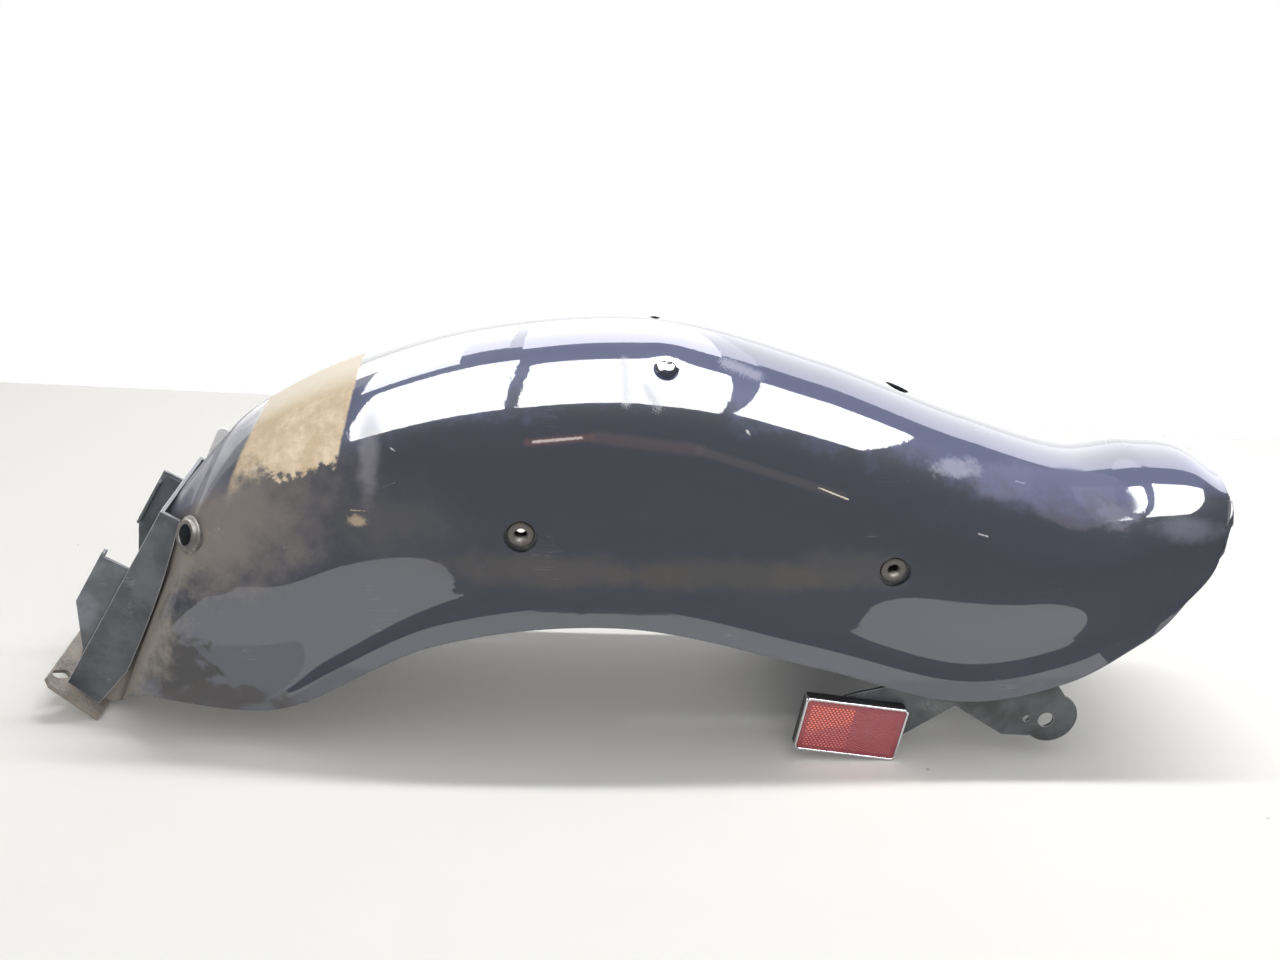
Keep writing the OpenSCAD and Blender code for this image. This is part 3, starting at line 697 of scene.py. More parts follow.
@dataclass(frozen=True)
class FenderForm:
    """Lofted surface of the fender's shell, in millimetres, as in the part's source."""

    length: float = 1000.0
    width: float = 222.0
    crown_height: float = 357.0
    nose_height: float = 196.0
    saddle_height: float = 261.0
    tail_height: float = 269.0
    arch_height: float = 123.0
    skirt_height: float = 35.0
    rear_skirt_height: float = 61.0
    tail_width: float = 188.0
    tail_roll: float = 11.0
    tail_full: float = 6.0
    neck_width: float = 116.0
    lip_height: float = 20.0
    flare_height: float = 20.0
    lip_out: float = 5.0
    wall_lean: float = 15.0
    skirt_swell: float = 4.0
    bracket_lean: float = 28.5
    plate: float = 3.0
    flange_len: float = 54.0
    flange_slope: float = 41.0
    flange_plate: float = 4.0
    web_inset: float = 16.0
    seat_gap: float = 0.3
    front_nut: Point = (-107.0, 199.0)
    rear_nut: Point = (202.0, 179.0)
    screw: Point = (3.0, 333.0)

    @cached_property
    def half(self) -> float:
        """Half of the width over the lips."""
        return self.width / 2

    def flange_z(self, x: float) -> float:
        """Height of the base flange's upper face at a place along the fender."""
        slope = math.radians(self.flange_slope)
        rise = self.flange_len * math.sin(slope)
        top = self.flange_plate / math.cos(slope)
        return rise - (x + self.length / 2) * math.tan(slope) + top

    @cached_property
    def web(self) -> Point:
        """Foot of the front bracket's web, along and up."""
        slope = math.radians(self.flange_slope)
        inset = self.web_inset * math.cos(slope) + self.flange_plate * math.sin(slope)
        x = -self.length / 2 + inset
        return x, self.flange_z(x)

    def web_point(self, up: float, back: float) -> Point:
        """A point beside the web, along and up, from its distance up and back."""
        lean = math.radians(self.bracket_lean)
        return (
            self.web[0] + up * math.sin(lean) + back * math.cos(lean),
            self.web[1] + up * math.cos(lean) - back * math.sin(lean),
        )

    @cached_property
    def nose_up(self) -> float:
        """How far up the web the nose ends."""
        return (self.nose_height - self.web[1]) / math.cos(math.radians(self.bracket_lean))

    @cached_property
    def collar(self) -> Point:
        """Middle of a collar, seen from the side."""
        return self.web_point(self.nose_up, 0)[0] + 26.5, self.nose_height - 15

    @cached_property
    def rows(self) -> list[Row]:
        """The loft's main stations, with one mirrored row past each end.

        Returns:
            Rows of crown x, crown z, edge x, edge z, half width, crown drop, lean and swell.
        """
        gap = self.plate + 3 * self.seat_gap
        nose, edge = self.web_point(self.nose_up, gap), self.web_point(3, gap)
        heel = edge[0] + 30
        half, lean, swell = self.half, self.wall_lean, self.skirt_swell
        crown, skirt, rear = self.crown_height, self.skirt_height, self.rear_skirt_height
        tail, wide, rise = self.length / 2, self.tail_width / 2, self.tail_height
        nose_row = (nose[0] + 28, self.nose_height + 33, heel, self.flange_z(heel) + 7)
        rows = [
            (nose[0], nose[1], edge[0], edge[1], half - 14, 56, 2, 0),
            (*nose_row, half - 12, 66, 5, 0),
            (-332, self.nose_height + 64, -414, skirt + 3, half - 7, 80, lean - 4, 0.6 * swell),
            (-255, crown - 52, -302, skirt, half - 2, 88, lean, swell),
            (-140, crown - 14, -172, self.arch_height - 21, half, 92, lean, 0.4 * swell),
            (0, crown, -20, self.arch_height, half, 93, lean, 0),
            (140, crown - 28, 140, self.arch_height - 31, half, 93, lean, 0.2 * swell),
            (272, crown - 69, 272, rear, half - 1, 88, lean, swell),
            (372, self.saddle_height + 2, 366, rear + 17, half - 4, 78, lean - 2, swell),
            (434, rise - 2, 426.5, rear + 53.5, half - 9, 66, lean - 5, 0.4 * swell),
            (tail - 26, rise - 2, 464.5, rise - 120.5, wide + 3, 54, lean - 7, 0.1 * swell),
            (tail, rise - self.tail_roll, tail - 8, rise - 67, wide - self.tail_roll / 2, 34,
             lean - 8, 0),
        ]
        first = tuple(2 * a - b for a, b in zip(rows[0], rows[1]))
        final = tuple(2 * a - b for a, b in zip(rows[-1], rows[-2]))
        return [first, *rows, final]

    @cached_property
    def last(self) -> int:
        """Number of the last station."""
        return len(self.rows) - 3

    def station(self, t: float) -> Row:
        """The loft's row at any place between its stations."""
        i = max(0, min(int(t), self.last - 1))
        u = t - i
        a, b, c, d = self.rows[i : i + 4]
        row = [
            q + 0.5 * u * ((r - p) + u * ((2 * p - 5 * q + 4 * r - s) + u * (3 * (q - r) + s - p)))
            for p, q, r, s in zip(a, b, c, d)
        ]
        if i == self.last - 1:
            full = 6.75 * u * u * (1 - u) * self.tail_full
            row[2] += 0.81 * full
            row[3] -= 0.59 * full
        return tuple(row)

    @staticmethod
    def ease(v: float) -> float:
        """A smooth step from 0 to 1."""
        v = max(0.0, min(1.0, v))
        return v * v * (3 - 2 * v)

    def neck(self, t: float, s: float) -> float:
        """How far the walls draw in at the nose; lower down they stay in beside the cheeks."""
        start = 0.7 + 0.3 * self.ease((s - 80) / 40)
        return (self.half - 12 - self.neck_width / 2) * (1 - self.ease((t - start) / (2.3 - start)))

    def lip_share(self, t: float) -> float:
        """Share of the lip that is left where it fades out towards the nose and the tail edge."""
        return self.ease((t - 2.72) / 0.62) * (1 - self.ease((t - self.last + 1.9) / 1.2))

    def depth(self, st: Row) -> float:
        """Length of a section's line from crown to lower edge."""
        return math.hypot(st[2] - st[0], st[3] - st[1])

    def wall_y(self, st: Row, t: float, s: float) -> float:
        """Half width of a section at a depth below the crown."""
        share = self.lip_share(t)
        crease = self.depth(st) - self.lip_height * share
        flare = crease - self.flare_height * share
        full = st[4] - self.neck(t, s) - self.lip_out
        k = min(1.0, s / st[5])
        lean = st[6] * min(1.0, s / flare)
        v = max(0.0, min(1.0, (s - 0.35 * flare) / (0.65 * flare)))
        swell = st[7] * math.sin(math.pi * v) ** 2
        thrown = min(1.0, max(0.0, s - flare) / max(0.5, self.flare_height * share))
        drop = 0.03 * max(0.0, s - crease)
        crown = (full - st[6]) * math.sqrt(max(0.0, 1 - (1 - k) ** 2))
        return crown + lean + swell + share * self.lip_out * thrown**2 + drop

    def on(self, st: Row, t: float, s: float, side: float) -> Vector:
        """A point of the outer surface, from its section."""
        f = s / self.depth(st)
        return Vector((
            st[0] + f * (st[2] - st[0]), side * self.wall_y(st, t, s), st[1] + f * (st[3] - st[1])
        ))

    def skin(self, t: float, s: float, side: float) -> Vector:
        """A point of the outer surface, from its station and depth."""
        return self.on(self.station(t), t, s, side)

    def locate(self, x: float, z: float) -> Point:
        """Station and depth of a place on the wall, seen from the side."""
        low, high = 0.0, float(self.last)
        for _ in range(30):
            middle = (low + high) / 2
            st = self.station(middle)
            if (st[2] - st[0]) * (z - st[1]) - (st[3] - st[1]) * (x - st[0]) > 0:
                low = middle
            else:
                high = middle
        st = self.station(low)
        return low, math.hypot(x - st[0], z - st[1])

    def seat(self, x: float, z: float, side: Side) -> tuple[Vector, Vector]:
        """A place on the skin and the outward normal there, from its side view."""
        t, s = self.locate(x, z)
        along = self.skin(t + 0.02, s, side.value) - self.skin(t - 0.02, s, side.value)
        down = self.skin(t, s + 0.5, side.value) - self.skin(t, s - 0.5, side.value)
        return self.skin(t, s, side.value), side.value * along.cross(down).normalized()


@dataclass(frozen=True)
class Hole:
    """A round hole through the shell."""

    centre: Vector
    axis: Vector
    radius: float

    def offset(self, point: Vector) -> Vector:
        """A point's offset from the hole's axis, or a far one past the hole's reach."""
        off = point - self.centre
        along = off.dot(self.axis)
        return off - along * self.axis if abs(along) < 14 else Vector((1e3, 0, 0))


@dataclass(frozen=True)
class Dimple:
    """A shallow dent pressed into the sheet."""

    centre: Vector
    radius: float
    sink: float

    def depth(self, point: Vector) -> float:
        """How far a point sinks."""
        return self.sink * math.exp(-((point - self.centre).length / self.radius) ** 2)


# ---------------------------------------------------------------- making pieces


def new_piece(
    name: str, bm: bmesh.types.BMesh, finish: Finish, slot: str, *replaced: str,
    smooth: float | None = 40.0,
) -> bpy.types.Object:
    """Turn a finished bmesh into a piece that rides on the fender.

    Args:
        name: the piece's name.
        bm: its mesh in metres, freed here.
        finish: its finish.
        slot: the record's material slot; not used.
        replaced: CAD nodes that it stands for.
        smooth: angle in degrees up to which its faces shade smoothly, or None for all.

    Returns:
        The object.
    """
    mesh = bpy.data.meshes.new(name)
    bm.to_mesh(mesh)
    bm.free()
    mesh.shade_smooth()
    if smooth is not None:
        mesh.set_sharp_from_angle(angle=math.radians(smooth))
    piece = bpy.data.objects.new(name, mesh)
    bpy.context.scene.collection.objects.link(piece)
    mesh.materials.append(finish.build())
    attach(piece, "root")
    if replaced:
        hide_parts(*replaced)
    log.info("%s: %d faces", name, len(mesh.polygons))
    return piece


def bevel_modifier(piece: bpy.types.Object, width: float, segments: int, angle: float) -> None:
    """Round a piece's edges sharper than an angle, by a width in millimetres."""
    bevel = piece.modifiers.new("edge", "BEVEL")
    bevel.width = width * MM
    bevel.segments = segments
    bevel.limit_method = "ANGLE"
    bevel.angle_limit = math.radians(angle)


def lathe(outline: Sequence[Point], steps: int = 72) -> bmesh.types.BMesh:
    """Spin a closed outline of radius and height round Z.

    Args:
        outline: points of radius and height in millimetres, in order.
        steps: faces round the turn.

    Returns:
        The closed ring, in metres.
    """
    bm = bmesh.new()
    verts = [bm.verts.new((r * MM, 0.0, z * MM)) for r, z in outline]
    edges = [bm.edges.new((a, b)) for a, b in zip(verts, [*verts[1:], verts[0]])]
    bmesh.ops.spin(
        bm, geom=[*verts, *edges], cent=(0, 0, 0), axis=(0, 0, 1), angle=math.tau,
        steps=steps, use_merge=True, use_duplicate=False,
    )
    bmesh.ops.remove_doubles(bm, verts=bm.verts[:], dist=1e-6)
    bmesh.ops.dissolve_degenerate(bm, dist=1e-7, edges=bm.edges[:])
    bmesh.ops.recalc_face_normals(bm, faces=bm.faces[:])
    return bm


def stand(bm: bmesh.types.BMesh, point: Vector, axis: Vector, roll: float = 0.0) -> None:
    """Move a mesh so that its Z axis stands at a point in millimetres along an axis."""
    turn = Vector((0, 0, 1)).rotation_difference(axis).to_matrix().to_4x4()
    spin = Matrix.Rotation(roll, 4, "Z")
    bmesh.ops.transform(bm, matrix=Matrix.Translation(point * MM) @ turn @ spin, verts=bm.verts[:])


def join(target: bmesh.types.BMesh, other: bmesh.types.BMesh) -> None:
    """Add one mesh to another and free it."""
    mesh = bpy.data.meshes.new("part")
    other.to_mesh(mesh)
    other.free()
    target.from_mesh(mesh)
    bpy.data.meshes.remove(mesh)


@dataclass
class Shell:
    """The pressed sheet with its holes, dents and lip."""

    form: FenderForm
    rings: int = 232
    crown: int = 30
    wall: int = 26
    flare_marks: tuple[float, ...] = (0.2, 0.4, 0.58, 0.74, 0.87, 0.95, 1.0)
    lip_marks: tuple[float, ...] = (0.05, 0.15, 0.4, 0.7, 0.92, 1.0)
    sheet: float = 1.7
    inset: float = 0.25
    stations: dict[float, Row] = field(default_factory=dict)

    @cached_property
    def half(self) -> int:
        """Rows on each half of a section."""
        return self.crown + self.wall + len(self.flare_marks) + len(self.lip_marks)

    @cached_property
    def holes(self) -> list[Hole]:
        """Every round hole, as the solid shell has them."""
        form = self.form
        found = [
            Hole(Vector((212, 0, 307)), Vector((0, 0, 1)), 10.5),
            Hole(Vector((-3, 0, 357)), Vector((0, 0, 1)), 4.25),
        ]
        for side in Side:
            for x, z in (form.front_nut, form.rear_nut):
                point = form.skin(*form.locate(x, z), side.value)
                found.append(Hole(point, Vector((0, side.value, 0)), 13.5))
            found.append(Hole(*form.seat(*form.screw, side), 4.5))
            found.append(Hole(*form.seat(*form.collar, side), 12.8))
        return found

    @cached_property
    def dimples(self) -> list[Dimple]:
        """Dents at the screws and in the band of dirt."""
        form = self.form
        screws = [Dimple(form.seat(*form.screw, side)[0], 17.0, 1.6) for side in Side]
        return [*screws, Dimple(Vector((-280, -62, 272)), 9.0, 1.3)]

    def depth_of(self, st: Row, row: float) -> float:
        """Depth below the crown line of a row, which may lie between two rows."""
        form, k = self.form, abs(row)
        flare = form.depth(st) - form.lip_height - form.flare_height
        if k <= self.crown:
            return st[5] * (1 - math.cos(0.5 * math.pi * k / self.crown))
        k -= self.crown
        if k <= self.wall:
            return st[5] + (flare - st[5]) * k / self.wall
        k -= self.wall
        for start, height, marks in (
            (flare, form.flare_height, self.flare_marks),
            (flare + form.flare_height, form.lip_height, self.lip_marks),
        ):
            if k <= len(marks):
                i = min(int(k), len(marks) - 1)
                low = marks[i - 1] if i else 0.0
                return start + height * (low + (marks[i] - low) * (k - i))
            k -= len(marks)
        return form.depth(st)

    def point(self, t: float, row: float) -> Vector:
        """A point of the skin from its station and row, in millimetres."""
        if t not in self.stations:
            self.stations[t] = self.form.station(t)
        st = self.stations[t]
        return self.form.on(st, t, self.depth_of(st, row), -1.0 if row < 0 else 1.0)

    def finished(self, t: float, row: float) -> Vector:
        """A point set in from the solid's skin, with the dents pressed in."""
        here = self.point(t, row)
        half, last = float(self.half), float(self.form.last)
        along = self.point(min(last, t + 0.01), row) - self.point(max(0.0, t - 0.01), row)
        across = self.point(t, min(half, row + 0.1)) - self.point(t, max(-half, row - 0.1))
        normal = along.cross(across).normalized()
        sink = self.inset + sum(d.depth(here) for d in self.dimples)
        return here - sink * normal

    def snap(self, hole: Hole, t: float, row: float) -> Point:
        """Slide a point along the skin onto a hole's rim.

        Args:
            hole: the hole.
            t: the point's station.
            row: the point's row.

        Returns:
            Station and row on the rim.
        """
        first = hole.axis.orthogonal().normalized()
        second = hole.axis.cross(first)
        aim = hole.offset(self.point(t, row)).normalized() * hole.radius
        goal = Vector((aim.dot(first), aim.dot(second)))

        def flat(a: float, b: float) -> Vector:
            """The place seen along the hole's axis."""
            off = self.point(a, b) - hole.centre
            return Vector((off.dot(first), off.dot(second)))

        for _ in range(5):
            here = flat(t, row)
            dt = (flat(t + 1e-3, row) - here) / 1e-3
            dr = (flat(t, row + 1e-2) - here) / 1e-2
            det = dt.x * dr.y - dt.y * dr.x
            miss = goal - here
            t += (miss.x * dr.y - miss.y * dr.x) / det
            row += (dt.x * miss.y - dt.y * miss.x) / det
        return t, row

    def cut(self, bm: bmesh.types.BMesh, hole: Hole) -> None:
        """Open a hole in the flat grid of stations and rows, with a clean rim."""
        stations = bm.verts.layers.float["station"]
        rows = bm.verts.layers.float["row"]

        def far(vert: bmesh.types.BMVert) -> float:
            """Distance outside the rim."""
            return hole.offset(self.point(vert[stations], vert[rows])).length - hole.radius

        near = [f for f in bm.faces if min(far(v) for v in f.verts) < 5.0]
        if not near:
            raise ValueError("a hole lies off the shell")
        edges = list({e for f in near for e in f.edges})
        cuts = 3 if hole.radius > 6 else 5
        bmesh.ops.subdivide_edges(bm, edges=edges, cuts=cuts, use_grid_fill=True)
        close = {v: far(v) for v in bm.verts if far(v) < 4.0}
        snapped: set[bmesh.types.BMVert] = set()
        for vert, out in close.items():
            if out >= 0:
                continue
            for edge in vert.link_edges:
                other = edge.other_vert(vert)
                beyond = close.get(other, 9.0)
                if beyond <= 0:
                    continue
                snapped.add(vert if -out <= beyond else other)
        for vert in snapped:
            vert[stations], vert[rows] = self.snap(hole, vert[stations], vert[rows])
        inside = {v for v, out in close.items() if out < 0 or v in snapped}
        gone = [f for f in bm.faces if all(v in inside for v in f.verts)]
        bmesh.ops.delete(bm, geom=gone, context="FACES")

    def build(self, finish: Finish) -> bpy.types.Object:
        """Draw the shell and give it its thickness.

        Args:
            finish: the paint.

        Returns:
            The shell's piece.
        """
        bm = bmesh.new()
        bmesh.ops.create_grid(bm, x_segments=self.rings, y_segments=2 * self.half, size=1.0)
        stations = bm.verts.layers.float.new("station")
        rows = bm.verts.layers.float.new("row")
        down = bm.verts.layers.float.new("down")
        for vert in bm.verts:
            u = round((vert.co.x + 1) / 2 * self.rings) / self.rings
            vert[stations] = self.form.last * u * (0.72 + 0.28 * u)
            vert[rows] = round(vert.co.y * self.half)
        for hole in self.holes:
            self.cut(bm, hole)
        for vert in bm.verts:
            t, row = vert[stations], vert[rows]
            st = self.form.station(t)
            share = self.depth_of(st, row) / self.form.depth(st)
            vert[down] = math.copysign(share, row)
            vert.co = self.finished(t, row) * MM
        loose = [v for v in bm.verts if not v.link_faces]
        bmesh.ops.delete(bm, geom=loose, context="VERTS")
        piece = new_piece("shell_skin", bm, finish, "shell_paint", "fender_shell", smooth=None)
        wall = piece.modifiers.new("sheet", "SOLIDIFY")
        wall.thickness = self.sheet * MM
        wall.offset = -1.0
        bevel_modifier(piece, 0.45, 2, 55.0)
        return piece


@dataclass(frozen=True)
class PlateCopy:
    """A flat or folded plate of the solid part, with its edges rounded."""

    node: str
    finish: Finish
    slot: str
    edge: float = 0.5
    segments: int = 3
    angle: float = 40.0

    def build(self) -> bpy.types.Object:
        """Copy the node's mesh, merge it, clear its flat faces and round its edges."""
        bm = bmesh.new()
        bm.from_mesh(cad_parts[self.node].data)
        bmesh.ops.remove_doubles(bm, verts=bm.verts[:], dist=1e-6)
        bmesh.ops.dissolve_limit(
            bm, angle_limit=math.radians(0.6), use_dissolve_boundaries=False,
            verts=bm.verts[:], edges=bm.edges[:], delimit=set(),
        )
        self.shape(bm)
        piece = new_piece(f"{self.node}_plate", bm, self.finish, self.slot, self.node)
        bevel_modifier(piece, self.edge, self.segments, self.angle)
        return piece

    def shape(self, bm: bmesh.types.BMesh) -> None:
        """Change the merged copy before its edges are rounded; a plain plate stays as it is."""


@dataclass(frozen=True)
class FrontBracket(PlateCopy):
    """The channel across the nose, whose cheeks run back to the hollow of the neck."""

    form: FenderForm = field(default_factory=FenderForm)
    ups: tuple[float, ...] = (34.0, 64.0, 98.0, 128.0, 150.0, 185.0)
    backs: tuple[float, ...] = (38.5, 36.3, 32.6, 28.2, 24.3, 17.0)

    def reach(self, up: float) -> float:
        """How far back a cheek runs at a height on the web."""
        spans = zip(self.ups, self.ups[1:], self.backs, self.backs[1:])
        for low, high, first, second in spans:
            if up <= high:
                return first + (second - first) * (up - low) / (high - low)
        return self.backs[-1]

    def on_web(self, point: Vector) -> Point:
        """Distance behind the web and up along it, of a point in metres."""
        lean = math.radians(self.form.bracket_lean)
        x, z = point.x / MM - self.form.web[0], point.z / MM - self.form.web[1]
        return x * math.cos(lean) - z * math.sin(lean), x * math.sin(lean) + z * math.cos(lean)

    def shape(self, bm: bmesh.types.BMesh) -> None:
        """Cut the cheeks' back edges and move them out."""
        form = self.form

        def behind(vert: bmesh.types.BMVert) -> bool:
            """Whether a corner stands on the back edge of a cheek."""
            return abs(vert.co.y) > 0.058 and self.on_web(vert.co)[0] > 10.0

        long = [
            e for e in bm.edges
            if all(behind(v) for v in e.verts) and e.calc_length() > 0.1
        ]
        bmesh.ops.subdivide_edges(bm, edges=long, cuts=5, use_grid_fill=True)
        fall = math.tan(math.radians(form.flange_slope - form.bracket_lean))
        for vert in [v for v in bm.verts if behind(v)]:
            _, up = self.on_web(vert.co)
            if up < 5:
                back, up = 31.0, form.seat_gap - 31.0 * fall
            else:
                up = max(up, 34.0)
                back = self.reach(up)
            x, z = form.web_point(up, back)
            vert.co.x, vert.co.z = x * MM, z * MM


@dataclass
class Collars:
    """Raised collars with an open bore beside the nose."""

    form: FenderForm
    outer: float = 12.5
    bore: float = 8.5
    foot: float = 15.5
    proud: float = 6.0

    def build(self, finish: Finish, bore: Finish) -> None:
        """Spin both collars, with another finish down the bore."""
        outline = [
            (self.bore + 0.1, -5.8), (self.outer - 0.1, -5.8), (self.outer - 0.1, 1.2),
            (self.foot - 0.5, 1.6), (self.foot, 2.1), (self.foot - 0.3, 2.7),
            (self.outer + 0.9, 3.3), (self.outer, 4.4), (self.outer - 0.3, self.proud - 0.6),
            (self.outer - 0.9, self.proud), (self.bore + 0.9, self.proud),
            (self.bore + 0.25, self.proud - 0.5), (self.bore + 0.1, self.proud - 1.2),
        ]
        for side in Side:
            bm = lathe(outline)
            for face in bm.faces:
                inner = face.calc_center_median().xy.length < (self.bore + 0.2) * MM
                face.material_index = int(inner)
            stand(bm, *self.form.seat(*self.form.collar, side))
            node = f"collar_{side.tag}"
            ring = new_piece(f"{node}_ring", bm, finish, "collar_dusty", node, smooth=50.0)
            ring.data.materials.append(bore.build())


@dataclass
class SideNuts:
    """Round threaded nuts behind the side holes."""

    form: FenderForm
    strap_y: float = 98.7027
    bore: float = 5.0
    outer: float = 11.0
    depth: float = 15.4
    pitch: float = 1.25

    def outline(self) -> list[Point]:
        """Section of a nut, with the thread's crests down its bore."""
        thread = []
        z, deep = 0.4 - self.depth, self.bore + 0.62
        while z < 0.2:
            thread += [(self.bore + 0.05, z), (deep, z + 0.55 * self.pitch)]
            z += self.pitch
        return [
            (self.bore + 0.7, -self.depth), (self.outer - 0.5, -self.depth),
            (self.outer, 0.5 - self.depth),
            (self.outer, 0.1), (self.outer - 0.25, 0.65), (self.outer - 0.9, 0.95),
            (self.bore + 1.6, 0.95), (self.bore + 0.95, 0.55), *reversed(thread),
        ]

    def flange(self) -> list[Point]:
        """Section of the weld flange behind the strap."""
        wide = self.outer + 4.0
        return [
            (self.bore + 0.3, -5.5), (wide - 0.5, -5.5), (wide, -5.0), (wide, -3.3),
            (wide - 0.4, -2.85), (self.bore + 0.3, -2.85),
        ]

    def build(self, finish: Finish) -> None:
        """Spin the nuts of both sides."""
        for side in Side:
            bm = bmesh.new()
            for x, z in (self.form.front_nut, self.form.rear_nut):
                for outline in (self.outline(), self.flange()):
                    ring = lathe(outline)
                    stand(ring, Vector((x, side.value * self.strap_y, z)),
                          Vector((0, side.value, 0)))
                    join(bm, ring)
            node = f"side_nuts_{side.tag}"
            new_piece(f"{node}_thread", bm, finish, "nut_steel", node, smooth=32.0)


@dataclass
class SeatScrews:
    """Domed screws with a cross recess on the shoulders of the crown."""

    form: FenderForm
    head: float = 9.9
    rise: float = 4.9
    shank: float = 3.9

    def dome(self) -> bmesh.types.BMesh:
        """Spin the head and shank."""
        ball = (self.head**2 + (self.rise - 1.0) ** 2) / (2 * (self.rise - 1.0))
        curve = [
            (self.head * k / 9, self.rise - ball + math.sqrt(ball**2 - (self.head * k / 9) ** 2))
            for k in range(10)
        ]
        outline = [*curve, (self.head, 0.55), (self.head - 0.35, 0.25), (self.shank, 0.25),
                   (self.shank, -13.4), (self.shank - 0.6, -13.9), (0.0, -13.9)]
        return lathe(outline)

    def recess(self) -> bmesh.types.BMesh:
        """The cross that is cut into the head: two tapered bars."""
        bm = bmesh.new()
        for turn in (0.0, 0.5 * math.pi):
            bar = bmesh.new()
            bmesh.ops.create_cube(bar, size=2.0)
            for vert in bar.verts:
                low = vert.co.z < 0
                vert.co.x *= (1.9 if low else 4.6) * MM
                vert.co.y *= (0.45 if low else 0.75) * MM
                vert.co.z = (1.3 if low else 6.5) * MM
            bmesh.ops.rotate(
                bar, verts=bar.verts[:], cent=(0, 0, 0), matrix=Matrix.Rotation(turn, 3, "Z")
            )
            join(bm, bar)
        return bm

    def build(self, finish: Finish) -> None:
        """Cut the recess and set a screw on each shoulder."""
        head = bpy.data.objects.new("head", bpy.data.meshes.new("head"))
        tool = bpy.data.objects.new("tool", bpy.data.meshes.new("tool"))
        for thing, bm in ((head, self.dome()), (tool, self.recess())):
            bm.to_mesh(thing.data)
            bm.free()
            bpy.context.scene.collection.objects.link(thing)
        cut = head.modifiers.new("cross", "BOOLEAN")
        cut.object = tool
        cut.operation = "DIFFERENCE"
        cut.solver = "EXACT"
        cut.use_self = True
        solved = head.evaluated_get(bpy.context.evaluated_depsgraph_get())
        mesh = bpy.data.meshes.new_from_object(solved)
        both = bmesh.new()
        for side in Side:
            bm = bmesh.new()
            bm.from_mesh(mesh)
            stand(bm, *self.form.seat(*self.form.screw, side), roll=0.35)
            join(both, bm)
        for thing in (head, tool):
            bpy.data.objects.remove(thing)
        bpy.data.meshes.remove(mesh)
        new_piece("seat_screws_head", both, finish, "screw_chrome", "seat_screws", smooth=30.0)


@dataclass
class Reflector:
    """The side reflectors: housing, bright bezel and red lens."""

    length: float = 92.0
    height: float = 52.0
    tip: float = 6.5
    centre_x: float = 184.0

    @property
    def centre(self) -> Vector:
        """Middle of the reflector, seen from the side."""
        tip = math.radians(self.tip)
        up = self.height / 2 * math.cos(tip) + self.length / 2 * math.sin(tip)
        return Vector((self.centre_x, 0, up))

    def lens(self, side: Side, finish: Finish) -> None:
        """Copy the lens, round it and lay a map in millimetres over its face."""
        node = f"reflector_lens_{side.tag}"
        piece = PlateCopy(node, finish, "lens_red", 0.8, 3, 30.0).build()
        face = piece.data.uv_layers.new(name="face")
        tip = math.radians(self.tip)
        for loop in piece.data.loops:
            off = piece.data.vertices[loop.vertex_index].co / MM - self.centre
            across = off.x * math.cos(tip) - off.z * math.sin(tip)
            up = off.x * math.sin(tip) + off.z * math.cos(tip)
            face.data[loop.index].uv = (across, up)

    def build(self, housing: Finish, bezel: Finish, lens: Finish) -> None:
        """Dress both reflectors."""
        for side in Side:
            PlateCopy(f"reflector_housing_{side.tag}", housing, "housing_black", 0.8).build()
            PlateCopy(f"reflector_bezel_{side.tag}", bezel, "bezel_bright", 0.6, 3, 30.0).build()
            self.lens(side, lens)


# ---------------------------------------------------------------- studio


